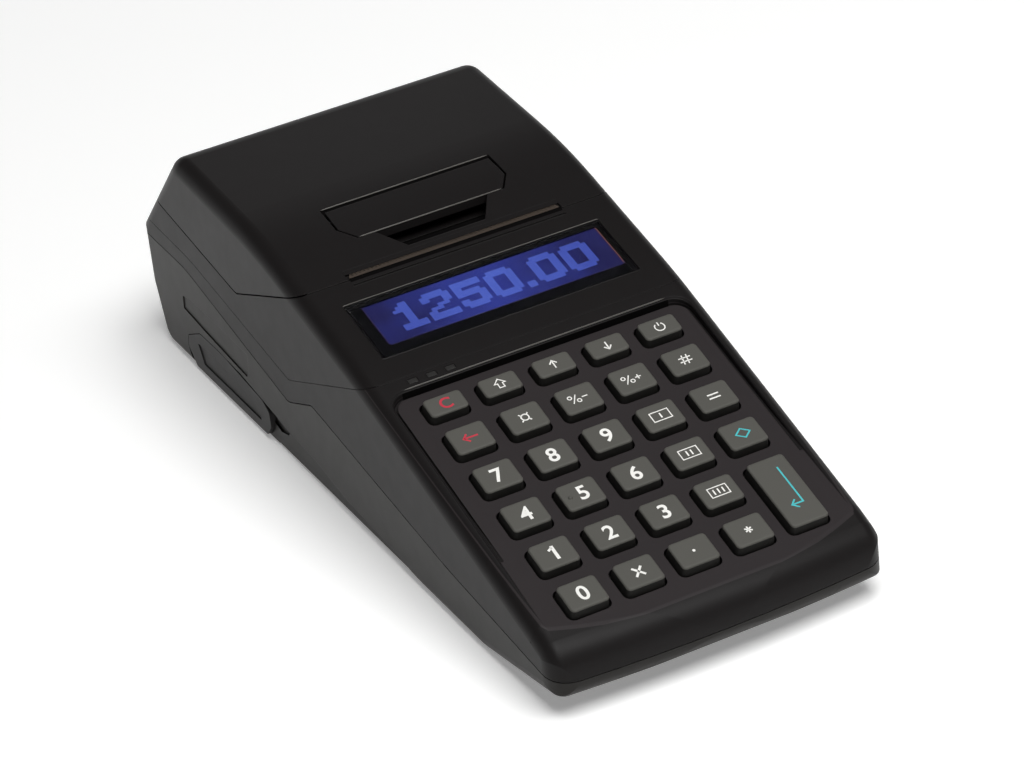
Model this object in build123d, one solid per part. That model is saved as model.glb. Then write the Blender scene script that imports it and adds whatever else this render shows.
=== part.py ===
from build123d import *
import os
from math import acos, asin, atan2, cos, degrees, pi, radians, sin, tan

# Portable ticket register: keypad deck in front, display behind it, and a
# paper lid at the rear that hinges back over the roll trough and the printer.
# Frame: X right, Y to the rear, Z up, origin at the centre of the base.
# All sizes in millimetres.

os.makedirs("parts", exist_ok=True)

# ----------------------------------------------------------------- housing
WIDTH = 88.0                 # across X
FRONT_Y = -112.9
REAR_Y = 112.7
FOOT_DROP = 0.8              # the feet stand this far below the base
BASE_REAR_Y = 105.3          # rear end of the flat base
BASE_FRONT_Y = -78.0         # the base turns up towards the nose from here
NOSE_LOW_Z = 5.8
NOSE_TOP_Z = 16.5
BREAK_1 = (-20.0, 47.5)      # deck surround meets the display slope
BREAK_2 = (34.0, 60.9)       # display slope meets the lid top
BREAK_1_R = 200.0
BREAK_2_R = 150.0
CREST = (82.3, 64.2)         # highest edge, at the rear
HIP = (112.6, 33.0)          # foot of the rear slope
REAR_Z = 26.5
EDGE_R = 4.0                 # radius of the long edges round the top
BASE_EDGE_R = 2.2            # radius of the edges round the base
NOSE_BOW = 484.0             # plan radius of the bowed nose
NOSE_RISE = 22.5             # the bowed nose leaves the top face at this slope
NOSE_CORNER_R = 6.5          # upright corners in plan
NOSE_EDGE_R = 3.9            # just under EDGE_R, so that the two edges blend
NOSE_INSET = 0.2             # the bowed nose starts this much below the profile's nose
NOSE_RELIEF = 0.3            # and ends this much below its top corner
NOSE_SINK = 3.8              # its underside lies this far below the base
NOSE_FOOT_Y = -60.0          # where it has dropped below the base
NOSE_EDGES_Y = 60.0          # only the edges centred in front of this are rounded
REAR_CORNER_R = 5.5
WALL = 2.0
FAR = 200.0                  # beyond the register on every side
ABOVE = 90.0                 # above the register

# ------------------------------------------------------------------- seams
LID_GAP = 0.35
MID_GAP = 0.12
LOW_GAP = 0.25
LID_SEAM = [(97.0, 45.7), (50.1, 39.1), (11.4, 55.0)]
MID_SEAM = [(80.0, 35.9), (22.9, 26.8)]
LOW_SEAM = [(84.0, 31.2), (25.2, 19.35), (10.4, 25.4), (-60.0, 14.75)]
LOW_SEAM_NOSE_Z = 9.6
LID_FRONT_Y = 11.0           # lid's front edge on the top face
MID_TOP_Y = -24.2            # display cover's front edge on the top face
SEAM_SLOPE = 0.41            # the slanted stretches of the seams

# ------------------------------------------------------------ keypad deck
DECK_TILT = 17.5
DECK_Y = -73.5               # middle of the fourth row, at the key tops
DECK_Z = 31.42
DECK_DROP = 2.3              # key tops above the deck face
DECK_T = 2.0
DECK_RIM = 3.7               # from the side face to the recess
DECK_REAR = -28.1            # rear edge of the recess (Y)
DECK_FRONT = -106.35         # lip where the recess runs out (Y)
DECK_CORNER_R = 4.5
DECK_BEVEL = 0.4
MOAT_W = 0.9
MOAT_D = 0.7
MOAT_START = 25.0            # the moat starts this far behind the lip

KEY_EDGE = 6.35              # from the outer key's side to the edge of the recess
KEY_PITCH_Y = 13.38
KEY_W = 9.9
KEY_D = 8.2
KEY_TOP_ROW_D = 5.9
KEY_TOP_ROW_Y = 39.0
KEY_CORNER = 0.6             # clipped corners
KEY_CHAMFER = 0.4
KEY_TAPER = 0.4              # each side grows by this down to the flange
KEY_FLANGE = 0.8             # flange beyond the skirt, each side
KEY_FLANGE_T = 0.8
KEY_SIDE_GAP = 0.35
KEY_UP_GAP = 0.25            # flange below the deck plate
KEY_TRAVEL = 1.2
MAT_GAP = 0.3                # dome below the pressed flange
DOME_H = 0.3
DOME_R = 2.6
MAT_T = 0.8
BOARD_T = 1.6
POST_INSET = 6.7             # from the side face to a board post's axis
POST_R = 1.5
BOARD_GAP = 3.0              # from the board to the side wall
BOARD_FRONT = -31.0
BOARD_REAR = 49.5
MAT_POST_GAP = 0.2           # between the mat and the board's posts
MAT_FRONT = -30.0
MAT_REAR = 43.0

LED_INSET = 11.9             # from the side face to the first light pipe
LED_PITCH = 5.0
LED_COUNT = 3
LED_Y = -26.1
LED_W = 2.3
LED_D = 1.3
LED_GAP = 0.08

# ----------------------------------------------------------------- display
DISPLAY_Y = -6.8
POCKET_HALF = 35.2
POCKET_LEN = 21.0
PANE_T = 1.1
PANE_RECESS = 0.4
PANE_GAP = 0.15
LEDGE = 1.2
LEDGE_DEPTH = 3.2            # underside of the thickened frame
LCD_FACE_DEPTH = 2.0
LCD_T = 5.5
LCD_FLANGE = 2.4

# ----------------------------------------------------------------- printer
PLATEN_Y = 17.0
PLATEN_Z = 45.8
ROLLER_R = 4.0
ROLLER_HALF = 29.0
SHAFT_R = 1.5
SHAFT_GAP = 0.04
BUSH_R = 3.0
PLATE_IN = 31.5              # inner face of the printer frame's side plates
PLATE_T = 1.5
EAR_IN = 29.6
EAR_T = 1.5
EAR_FRONT = 3.7              # the ears reach this far round the roller's axis
EAR_REAR = 7.0
MODULE = 0.8
PLATEN_TEETH = 16
IDLER_TEETH = 20
PINION_TEETH = 12
GEAR_IN = 33.9
GEAR_T = 3.0
BACKLASH = 0.14
FRAME_Z = 17.6
FRAME_T = 1.5
FRAME_FRONT = -4.2
FRAME_REAR = 27.0
MOTOR_R = 8.0
MOTOR_LEN = 18.0
MOTOR_SHAFT_R = 1.0
STUD_R = 1.5                 # carries the idler
HEAD_GAP = 0.08
HEAD_T = 2.3

# --------------------------------------------------------------- paper bay
BAY_R = 21.0
BAY_T = 1.5
BAY_Y = 58.0
BAY_Z = 39.0
BAY_HALF = 29.25             # for paper 57.5 wide
BAY_FLANGE_Z = 39.6
BAY_FLANGE_T = 1.3

# ------------------------------------------------------------- paper lid
LEVER_REAR = (23.7, 38.0)    # outline of the lever's recess (X, Y)
LEVER_SIDE = (23.8, 28.7)
LEVER_FRONT = (20.4, 23.7)
LEVER_GAP = 0.35
LEVER_REAR_GAP = 1.5
LEVER_T = 2.5
LEVER_WELL = 6.0
WELL_T = 1.2
LEVER_PIN_Y = 34.3
LEVER_PIN_DROP = 1.7
LEVER_PIN_R = 0.6
LEVER_BARREL_R = 1.6
SPRING_ROOM = 2.6            # half width of the spring's room in the barrel
COIL_T = 0.55
COIL_TURNS = 4
COIL_PITCH = 0.9
COIL_W = 0.75                # width of one turn
FINGER_REAR = 15.6           # half widths and front end of the finger pocket
FINGER_FRONT = 10.6
FINGER_Y = 15.8
FINGER_GAP = 1.2             # pocket floor above the roller
HINGE_R = 1.5
HINGE_PIN_R = 0.6
HINGE_GAP = 0.3
HINGE_INSET = 6.0            # from the side face to the last barrel
HINGE_JOINTS = [30.0, 12.0]  # where two barrels meet, from the middle
TEAR_HALF = 29.0
TEAR_T = 0.5
TEAR_PITCH = 1.45
TEAR_TOOTH = 0.9
TEAR_DEEP = 2.8
GROOVE_Y = 15.9              # groove in front of the paper slot, on the display plane
GROOVE_W = 0.6
GROOVE_D = 0.4

# ---------------------------------------------------------- base and ports
FOOT_R = 4.5
FOOT_SEAT = 0.8
FOOT_INSET = 8.5             # from the side face to a foot's axis
FOOT_Y = [-68.0, 85.0]
SCREW_INSET = 5.2            # from the side face to a screw's axis
SCREW_Y = [-58.0, 97.0]
SCREW_R = 1.3
SCREW_HEAD_R = 2.7
SCREW_HEAD_T = 1.8
BOSS_R = 3.3
CLEAR = 0.15                 # between bosses that meet at a seam, each side
BATTERY_GAP = 3.0            # from the cells to the screw bosses
CELL_R = 9.0
BATTERY_Y = -51.0
BATTERY_Z = 4.3
COVER_LEDGE = 4.0            # the battery cover is this much narrower than the cells, each side
COVER_REAR = -33.0
COVER_TOP_Z = 6.6
COVER_GAP = 0.15
TONGUE = 1.2                 # the cover's tongues reach this far under the base
TONGUE_T = 1.0
TUB_INSET = 1.1
FLAP_T = 1.6
FLAP_GAP = 0.2
FLAP_AXIS_Y = 90.1
PORT_DEEP = 15.0             # depth of the port box from the side face
PORT_FACE = 7.0              # depth of the connectors' faces
STRIP_D = 0.3                # depth of the shallow strip above the ports
PANEL_D = 0.4                # depth of the flap's sunk panel
JACK_W = 10.4
JACK_H = 6.4
JACK_DEEP = 6.5
JACK_Y = [78.0, 64.0]
SOCKET_Y = 51.5
SOCKET_DEEP = 5.5

HALF = WIDTH / 2
BASE_Z = FOOT_DROP
DECK_HALF = HALF - DECK_RIM
KEY_PITCH_X = (DECK_HALF - KEY_EDGE - KEY_W / 2) / 2
BOARD_HALF = HALF - WALL - BOARD_GAP
POST_X = HALF - POST_INSET
MAT_HALF = POST_X - POST_R - MAT_POST_GAP
HINGE_END = HALF - HINGE_INSET
HINGE_SPANS = [-HINGE_END, -HINGE_JOINTS[0], -HINGE_JOINTS[1], HINGE_JOINTS[1], HINGE_JOINTS[0], HINGE_END]
FOOT_X = HALF - FOOT_INSET
SCREW_X = HALF - SCREW_INSET
BATTERY_HALF = SCREW_X - BOSS_R - BATTERY_GAP
COVER_HALF = BATTERY_HALF - COVER_LEDGE
LED_X = [-HALF + LED_INSET + LED_PITCH * i for i in range(LED_COUNT)]


# ------------------------------------------------------------------ helpers
def yz(points, radii):
    """Face in the YZ plane through rounded corners."""
    return Plane.YZ * make_face(FilletPolyline(*points, radius=radii, close=True))


def prism(points, x0, x1):
    """Prism along X of a plain YZ outline."""
    face = Plane.YZ * make_face(Polyline(*points, close=True))
    return Pos((x0 + x1) / 2, 0, 0) * extrude(face, (x1 - x0) / 2, both=True)


def column(points, z0, z1):
    """Prism along Z of a plain XY outline."""
    return extrude(Pos(0, 0, z0) * make_face(Polyline(*points, close=True)), z1 - z0)


def block(x0, x1, y0, y1, z0, z1):
    return Pos((x0 + x1) / 2, (y0 + y1) / 2, (z0 + z1) / 2) * Box(x1 - x0, y1 - y0, z1 - z0)


def rod_x(r, x0, x1, y, z):
    return Pos((x0 + x1) / 2, y, z) * Rot(0, 90, 0) * Cylinder(r, x1 - x0)


def rod_z(r, x, y, z0, z1):
    return Pos(x, y, (z0 + z1) / 2) * Cylinder(r, z1 - z0)


def pair(shape):
    """The shape and its mirror image in the YZ plane."""
    return shape + mirror(shape, Plane.YZ)


def lerp(a, b, y):
    return a[1] + (b[1] - a[1]) * (y - a[0]) / (b[0] - a[0])


def top_z(y):
    """Height of the top face on the middle line, rounded breaks included."""
    corners = [(FRONT_Y, NOSE_TOP_Z), BREAK_1, BREAK_2, CREST]
    for i in (0, 1, 2):
        if y < corners[i + 1][0] or i == 2:
            z = lerp(corners[i], corners[i + 1], y)
            break
    for i, r in ((1, BREAK_1_R), (2, BREAK_2_R)):
        a, b, c = corners[i - 1], corners[i], corners[i + 1]
        turn = atan2(b[1] - a[1], b[0] - a[0]) - atan2(c[1] - b[1], c[0] - b[0])
        reach = r * tan(turn / 2)
        away = abs(y - b[0]) / cos(atan2(b[1] - a[1], b[0] - a[0]))
        if away < reach:
            z -= (reach - away) ** 2 / (2 * r)
    return z


# ------------------------------------------------------------- outer form
PROFILE = [(FRONT_Y, NOSE_LOW_Z), (BASE_FRONT_Y, BASE_Z), (BASE_REAR_Y, BASE_Z),
           (REAR_Y, REAR_Z), HIP, CREST, BREAK_2, BREAK_1, (FRONT_Y, NOSE_TOP_Z)]
PROFILE_R = [4, 40, 5, 25, 5, 7, BREAK_2_R, BREAK_1_R, 9]

outline = yz(PROFILE, PROFILE_R)
raw = extrude(outline, HALF, both=True)


def rim_edges(solid, last_y):
    """Edges along the two side faces, up to a given Y."""
    on_side = solid.edges().filter_by(lambda e: abs(abs(e.center().X) - HALF) < 0.01)
    return on_side.filter_by(lambda e: e.center().Y < last_y)


# the nose is bowed in plan, and the upright corners are rounder
rise = tan(radians(NOSE_RISE))
NOSE = [(FRONT_Y, NOSE_LOW_Z - NOSE_INSET), (NOSE_FOOT_Y, BASE_Z - NOSE_SINK), (FAR, BASE_Z - NOSE_SINK),
        (FAR, NOSE_TOP_Z - NOSE_RELIEF + rise * (FAR - FRONT_Y)), (FRONT_Y, NOSE_TOP_Z - NOSE_RELIEF)]
NOSE_R = [4, 40, 0, 0, 9]
nose_face = yz(NOSE, NOSE_R)
bow_axis = Axis((0, FRONT_Y + NOSE_BOW, 0), (0, 0, 1))
BOW_SWEEP = degrees(asin((HALF + 5) / (FRONT_Y + NOSE_BOW - FAR)))


def bowed(face):
    """The nose's outline swept round the bow, past both side faces over its whole length."""
    return revolve(face, bow_axis, BOW_SWEEP) + revolve(face, bow_axis, -BOW_SWEEP)


nose = bowed(nose_face) & Box(WIDTH, 3 * FAR, 3 * FAR)
nose = fillet(rim_edges(nose, NOSE_EDGES_Y), NOSE_EDGE_R)
plan = make_face(Polyline((-HALF, -FAR), (HALF, -FAR), (HALF, REAR_Y), (-HALF, REAR_Y), close=True))
plan &= Pos(0, FRONT_Y + NOSE_BOW) * Circle(NOSE_BOW)
plan = fillet(plan.vertices().filter_by(lambda v: v.Y < 0), NOSE_CORNER_R)
plan = fillet(plan.vertices().filter_by(lambda v: v.Y > REAR_Y - 0.01), REAR_CORNER_R)
envelope = extrude(plan, FAR, both=True) & nose
# the pieces above the low seam have one edge radius, those below it another
outer = fillet(rim_edges(raw, FAR), EDGE_R) & envelope
outer_low = fillet(rim_edges(raw, FAR), BASE_EDGE_R) & envelope

hollow = extrude(offset(outline, amount=-WALL, kind=Kind.INTERSECTION), HALF - WALL, both=True)
hollow &= extrude(offset(plan, amount=-WALL, kind=Kind.INTERSECTION), FAR, both=True)
hollow &= bowed(offset(nose_face, amount=-WALL, kind=Kind.INTERSECTION))

deck = Plane(origin=(0, DECK_Y, DECK_Z), x_dir=(1, 0, 0),
             z_dir=(0, -sin(radians(DECK_TILT)), cos(radians(DECK_TILT))))
DISPLAY_TILT = degrees(atan2(BREAK_2[1] - BREAK_1[1], BREAK_2[0] - BREAK_1[0]))
display = Plane(origin=(0, DISPLAY_Y, top_z(DISPLAY_Y)), x_dir=(1, 0, 0),
                z_dir=(0, -sin(radians(DISPLAY_TILT)), cos(radians(DISPLAY_TILT))))


def on(plane, x0, x1, y0, y1, z0, z1):
    """Box given in a tilted plane's own coordinates."""
    return plane * block(x0, x1, y0, y1, z0, z1)


# the deck plate and the display frame thicken the shell from inside
deck_core = on(deck, -HALF, HALF, -45, 55, -DECK_DROP - DECK_T, 20)
display_core = on(display, -POCKET_HALF - 3, POCKET_HALF + 3,
                  -POCKET_LEN / 2 - 3, POCKET_LEN / 2 + 3, -LEDGE_DEPTH, 20)
cavity = hollow - deck_core - display_core
shell, shell_low = outer - cavity, outer_low - cavity


# ------------------------------------------------------------ seam regions
def seam_region(seam, radii, rear_z, front, top_y, grow):
    """Space above a seam; grow moves the limit into the piece below it."""
    points = [(130, rear_z)] + seam + front
    side = offset(yz(points, radii), amount=grow, kind=Kind.INTERSECTION)
    region = extrude(side, HALF + 10, both=True)
    if top_y is not None:
        inner = HALF - EDGE_R + 0.6
        region += block(-inner, inner, top_y - grow, top_y + 9, top_z(top_y) - 9, 90)
    return region


def lid_space(grow):
    return seam_region(LID_SEAM, [0, 4, 4, 0, 0, 0], LID_SEAM[0][1],
                       [(LID_FRONT_Y, 100), (130, 100)], LID_FRONT_Y, grow)


def display_space(grow):
    y1 = MID_TOP_Y
    corner = MID_SEAM[1]
    top = (y1, corner[1] + SEAM_SLOPE * (corner[0] - y1))
    return seam_region(MID_SEAM, [0, 60, 4, 0, 0, 0], MID_SEAM[0][1] + 1.7,
                       [top, (y1, 100), (130, 100)], y1, grow)


def upper_space(grow):
    return seam_region(LOW_SEAM, [0, 40, 5, 3, 150, 0, 0, 0], LOW_SEAM[0][1] + 0.6,
                       [(-130, LOW_SEAM_NOSE_Z - 1.5), (-130, 100), (130, 100)], None, grow)


# ---------------------------------------------------------------- the keys
KEY_COLUMNS = [KEY_PITCH_X * i for i in (-2, -1, 0, 1, 2)]
ROW_Y = [KEY_TOP_ROW_Y, 2 * KEY_PITCH_Y, KEY_PITCH_Y, 0.0, -KEY_PITCH_Y, -2 * KEY_PITCH_Y]
TALL_D = KEY_PITCH_Y + KEY_D
KEY_NAMES = [
    ["clear", "shift", "scroll_up", "scroll_down", "power"],
    ["void", "price", "minus_percent", "plus_percent", "lookup"],
    ["7", "8", "9", "department_1", "pay"],
    ["4", "5", "6", "department_2", "subtotal"],
    ["1", "2", "3", "department_3", "total"],
    ["0", "times", "point", "star"],
]
KEYS = []                    # (name, x, y, width, depth) on the deck plane
for row, names in enumerate(KEY_NAMES):
    for column_index, name in enumerate(names):
        y, d = ROW_Y[row], KEY_TOP_ROW_D if row == 0 else KEY_D
        if name == "total":
            y, d = (ROW_Y[4] + ROW_Y[5]) / 2, TALL_D
        KEYS.append(("key_" + name, KEY_COLUMNS[column_index], y, KEY_W, d))

FLANGE_TOP = -DECK_DROP - DECK_T - KEY_UP_GAP
FLANGE_BOTTOM = FLANGE_TOP - KEY_FLANGE_T
DOME_TOP = FLANGE_BOTTOM - KEY_TRAVEL - MAT_GAP
MAT_TOP = DOME_TOP - DOME_H
MAT_BOTTOM = MAT_TOP - MAT_T
BOARD_BOTTOM = MAT_BOTTOM - BOARD_T


def make_key(w, d):
    """Cap with a tapered skirt, a chamfered top and a retaining flange."""
    g = 2 * KEY_TAPER
    skirt = Rectangle(w + g, d + g)
    skirt = chamfer(skirt.vertices(), KEY_CORNER)
    cap = extrude(Pos(0, 0, FLANGE_TOP) * skirt, -FLANGE_TOP, dir=(0, 0, 1),
                  taper=degrees(atan2(KEY_TAPER, -FLANGE_TOP)))
    cap = chamfer(cap.faces().sort_by(Axis.Z)[-1].edges(), KEY_CHAMFER)
    f = g + 2 * KEY_FLANGE
    return cap + block(-(w + f) / 2, (w + f) / 2, -(d + f) / 2, (d + f) / 2,
                       FLANGE_BOTTOM, FLANGE_TOP)


def key_hole(w, d):
    g = 2 * KEY_TAPER + 2 * KEY_SIDE_GAP
    return Box(w + g, d + g, 12)


# ----------------------------------------------------------------- gears
def gear_face(teeth, turn):
    """Involute spur gear, pressure angle 20 degrees, first tooth at turn."""
    rp = MODULE * teeth / 2
    ra, rr, rb = rp + 0.95 * MODULE, rp - 1.2 * MODULE, rp * cos(radians(20))
    inv = lambda a: tan(a) - a
    half = pi / (2 * teeth) - BACKLASH / (4 * rp)
    flank = []
    for i in range(4):
        r = max(rb, rr) + (ra - max(rb, rr)) * i / 3
        a = half + inv(radians(20)) - inv(acos(min(1.0, rb / r)))
        flank.append((r, a))
    if rr < rb:
        flank.insert(0, (rr, flank[0][1]))
    points = []
    for t in range(teeth):
        c = turn + 2 * pi * t / teeth
        for r, a in flank:
            points.append((r * cos(c - a), r * sin(c - a)))
        for r, a in reversed(flank):
            points.append((r * cos(c + a), r * sin(c + a)))
    return make_face(Polyline(*points, close=True))


def gear(teeth, turn, y, z, x0, x1):
    face = Plane.YZ * gear_face(teeth, turn)
    return Pos((x0 + x1) / 2, y, z) * extrude(face, (x1 - x0) / 2, both=True)


R_PLATEN, R_IDLER, R_PINION = (MODULE * n / 2 for n in (PLATEN_TEETH, IDLER_TEETH, PINION_TEETH))
IDLER_ANGLE = radians(-85.0)         # from the platen's axis to the idler's
PINION_ANGLE = radians(194.5)        # from the idler's axis to the pinion's
IDLER_Y = PLATEN_Y + (R_PLATEN + R_IDLER) * cos(IDLER_ANGLE)
IDLER_Z = PLATEN_Z + (R_PLATEN + R_IDLER) * sin(IDLER_ANGLE)
PINION_Y = IDLER_Y + (R_IDLER + R_PINION) * cos(PINION_ANGLE)
PINION_Z = IDLER_Z + (R_IDLER + R_PINION) * sin(PINION_ANGLE)
# a platen tooth points at the idler, which has a gap there; the pinion is
# turned so that its gap meets the idler tooth nearest the line of centres
idler_turn = IDLER_ANGLE + pi + pi / IDLER_TEETH
step = 2 * pi / IDLER_TEETH
lead = (idler_turn - PINION_ANGLE) % step
lead = lead - step if lead > step / 2 else lead
pinion_turn = PINION_ANGLE + pi + pi / PINION_TEETH - lead * IDLER_TEETH / PINION_TEETH

parts = {}

# ---------------------------------------------------------- upper housing
upper = shell & upper_space(-LOW_GAP / 2)
upper -= display_space(MID_GAP / 2)
lip_z = -DECK_DROP


def deck_face(half, front, rear, corner_r):
    """Outline of the recess, rounded at its two rear corners."""
    points = [(-half, front), (half, front), (half, rear), (-half, rear)]
    return make_face(FilletPolyline(*points, radius=[0, 0, corner_r, corner_r], close=True))


def over_deck(z):
    """Space over the deck plane from a given height."""
    return on(deck, -HALF, HALF, -60, 60, z, 40)


open_front = DECK_FRONT - 8
recess = extrude(deck_face(DECK_HALF, open_front, DECK_REAR, DECK_CORNER_R), ABOVE)
moat = recess - extrude(deck_face(DECK_HALF - MOAT_W, DECK_FRONT, DECK_REAR - MOAT_W,
                                  DECK_CORNER_R - MOAT_W), ABOVE)
moat &= block(-HALF, HALF, DECK_FRONT + MOAT_START, DECK_REAR + 1, 0, ABOVE)
moat &= over_deck(lip_z - MOAT_D)
recess &= over_deck(lip_z)
SURROUND_TILT = degrees(atan2(BREAK_1[1] - NOSE_TOP_Z, BREAK_1[0] - FRONT_Y))
surround = Plane(origin=(0, DECK_Y, top_z(DECK_Y)), x_dir=(1, 0, 0),
                 z_dir=(0, -sin(radians(SURROUND_TILT)), cos(radians(SURROUND_TILT))))
run = 1 / cos(radians(SURROUND_TILT))
bevel_face = deck_face(DECK_HALF, (open_front - DECK_Y) * run, (DECK_REAR - DECK_Y) * run, DECK_CORNER_R)
bevel = surround * (Pos(0, 0, -DECK_BEVEL) * extrude(bevel_face, 2 * DECK_BEVEL, taper=-45))
bevel &= over_deck(lip_z)
upper = upper - recess - moat - bevel
for name, x, y, w, d in KEYS:
    upper -= deck * Pos(x, y, -DECK_DROP) * key_hole(w, d)

for y in (BOARD_FRONT + 3, BOARD_REAR - 4):
    post = deck * rod_z(POST_R, POST_X, y, MAT_BOTTOM, -DECK_DROP - DECK_T + 0.5)
    upper += pair(post)

led_deck_y = (LED_Y - DECK_Y) / cos(radians(DECK_TILT)) - 0.1
LED_TOP = (top_z(LED_Y) - DECK_Z - (LED_Y - DECK_Y) * tan(radians(DECK_TILT))) * cos(radians(DECK_TILT))
led_pipes = None
for x in LED_X:
    upper -= on(deck, x - LED_W / 2 - LED_GAP, x + LED_W / 2 + LED_GAP,
                led_deck_y - LED_D / 2 - LED_GAP, led_deck_y + LED_D / 2 + LED_GAP, -8, 4)
    pipe = on(deck, x - LED_W / 2, x + LED_W / 2, led_deck_y - LED_D / 2, led_deck_y + LED_D / 2,
              MAT_BOTTOM, LED_TOP - 0.05)
    led_pipes = pipe if led_pipes is None else led_pipes + pipe

# ------------------------------------------------------------ screw bosses
def low_z(y):
    """Height of the low seam's long stretches."""
    if y < LOW_SEAM[2][0]:
        return lerp(LOW_SEAM[3], LOW_SEAM[2], y)
    if y > LOW_SEAM[0][0]:
        return lerp(LOW_SEAM[0], (130, LOW_SEAM[0][1] + 0.6), y)
    return lerp(LOW_SEAM[1], LOW_SEAM[0], y)


def mid_z(y):
    if y > MID_SEAM[0][0]:
        return lerp(MID_SEAM[0], (130, MID_SEAM[0][1] + 1.7), y)
    return lerp(MID_SEAM[1], MID_SEAM[0], y)


SEAT_Z = BASE_Z + SCREW_HEAD_T + 0.4
front_boss_z = low_z(SCREW_Y[0])
rear_boss_z = low_z(SCREW_Y[1])
rear_top_z = mid_z(SCREW_Y[1])
deck_drop = (DECK_DROP + DECK_T) / cos(radians(DECK_TILT))
deck_under_z = DECK_Z + (SCREW_Y[0] - DECK_Y) * tan(radians(DECK_TILT)) - deck_drop
upper += pair(rod_z(BOSS_R, SCREW_X, SCREW_Y[0], front_boss_z + CLEAR, deck_under_z + 0.1))
upper += pair(rod_z(BOSS_R, SCREW_X, SCREW_Y[1], rear_boss_z + CLEAR, rear_top_z - CLEAR))
FRONT_SCREW_TOP = front_boss_z + 9.0
REAR_SCREW_TOP = rear_top_z + 4.5
for y, z in ((SCREW_Y[0], FRONT_SCREW_TOP), (SCREW_Y[1], REAR_SCREW_TOP)):
    upper -= pair(rod_z(SCREW_R + 0.05, SCREW_X, y, 0, z + 0.5))
parts["upper_housing"] = upper

# ---------------------------------------------------------- display cover
HINGE_Z = LID_SEAM[0][1]
HINGE_Y = HIP[0] - (HINGE_Z - HIP[1]) * (HIP[0] - CREST[0]) / (CREST[1] - HIP[1])
cover = (shell & display_space(-MID_GAP / 2)) - lid_space(LID_GAP / 2)
cover -= on(display, -POCKET_HALF, POCKET_HALF, -POCKET_LEN / 2, POCKET_LEN / 2,
            -PANE_T - PANE_RECESS, 20)
cover -= on(display, -POCKET_HALF + LEDGE, POCKET_HALF - LEDGE,
            -POCKET_LEN / 2 + LEDGE, POCKET_LEN / 2 - LEDGE, -20, 20)
# shallow groove in front of the paper slot
cover -= on(display, -TEAR_HALF - 0.4, TEAR_HALF + 0.4, GROOVE_Y, GROOVE_Y + GROOVE_W, -GROOVE_D, 5)
cover += pair(rod_z(BOSS_R, SCREW_X, SCREW_Y[1], rear_top_z + CLEAR, REAR_SCREW_TOP + 1.5))
cover -= pair(rod_z(SCREW_R + 0.05, SCREW_X, SCREW_Y[1], 0, REAR_SCREW_TOP + 0.5))
for i in range(5):
    x0, x1 = HINGE_SPANS[i], HINGE_SPANS[i + 1]
    if i % 2:
        cover -= rod_x(HINGE_R + HINGE_GAP, x0 - HINGE_GAP, x1 + HINGE_GAP, HINGE_Y, HINGE_Z)
    else:
        cover += rod_x(HINGE_R, x0, x1, HINGE_Y, HINGE_Z)
cover -= rod_x(HINGE_PIN_R + 0.05, HINGE_SPANS[0] + 1, HINGE_SPANS[5] + 1, HINGE_Y, HINGE_Z)
parts["display_cover"] = cover

# ---------------------------------------------------------------- the lid
lid_region = lid_space(-LID_GAP / 2)
lid = shell & lid_region


def both_sides(points):
    """Closed outline: the points on the right, then their mirror images in reverse."""
    return points + [(-x, y) for x, y in reversed(points)]


well_out = both_sides([(LEVER_REAR[0] + WELL_T, LEVER_REAR[1] + WELL_T),
                       (LEVER_SIDE[0] + WELL_T, LEVER_SIDE[1]),
                       (LEVER_FRONT[0] + WELL_T, LEVER_FRONT[1] - WELL_T)])
well_in = both_sides([LEVER_REAR, LEVER_SIDE, LEVER_FRONT])
POCKET_Z = PLATEN_Z + ROLLER_R + FINGER_GAP + WELL_T
pocket_in = both_sides([(FINGER_REAR, LEVER_FRONT[1] + 1), (FINGER_REAR, LEVER_FRONT[1]),
                        (FINGER_FRONT, FINGER_Y)])
pocket_out = both_sides([(FINGER_REAR + WELL_T, LEVER_FRONT[1] + 1),
                         (FINGER_REAR + WELL_T, LEVER_FRONT[1] - 1),
                         (FINGER_FRONT + WELL_T, FINGER_Y - WELL_T)])
solid_lid = outer & lid_region
lid += (column(well_out, 0, ABOVE) & solid_lid) - Pos(0, 0, -LEVER_WELL - WELL_T) * raw
lid += column(pocket_out, POCKET_Z - WELL_T, ABOVE) & solid_lid
# ears that carry the roller's bushes
ear_front, ear_rear = PLATEN_Y - EAR_FRONT, PLATEN_Y + EAR_REAR
ear = prism([(ear_front, PLATEN_Z - 4.0), (PLATEN_Y + 4.2, PLATEN_Z - 4.0), (PLATEN_Y + 6.3, PLATEN_Z + 5),
             (ear_rear, top_z(ear_rear) - 1.0), (ear_front, top_z(ear_front) - 1.0)],
            EAR_IN, EAR_IN + EAR_T)
lid += pair(ear)
lid -= column(well_in, 0, ABOVE) - Pos(0, 0, -LEVER_WELL) * raw
lid -= column(pocket_in, POCKET_Z, ABOVE)
LEVER_PIN_Z = top_z(LEVER_PIN_Y) - LEVER_PIN_DROP
lid -= rod_x(LEVER_PIN_R, -LEVER_REAR[0] - WELL_T, LEVER_REAR[0] + WELL_T, LEVER_PIN_Y, LEVER_PIN_Z)
lid -= rod_x(BUSH_R, -EAR_IN - 2 * EAR_T, EAR_IN + 2 * EAR_T, PLATEN_Y, PLATEN_Z)
for i in range(5):
    x0, x1 = HINGE_SPANS[i], HINGE_SPANS[i + 1]
    if i % 2 == 0:
        lid -= rod_x(HINGE_R + HINGE_GAP, x0 - HINGE_GAP, x1 + HINGE_GAP, HINGE_Y, HINGE_Z)
    else:
        lid += rod_x(HINGE_R, x0 + HINGE_GAP, x1 - HINGE_GAP, HINGE_Y, HINGE_Z)
lid -= rod_x(HINGE_PIN_R + 0.05, HINGE_SPANS[0] + 1, HINGE_SPANS[5] - 1, HINGE_Y, HINGE_Z)
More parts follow.
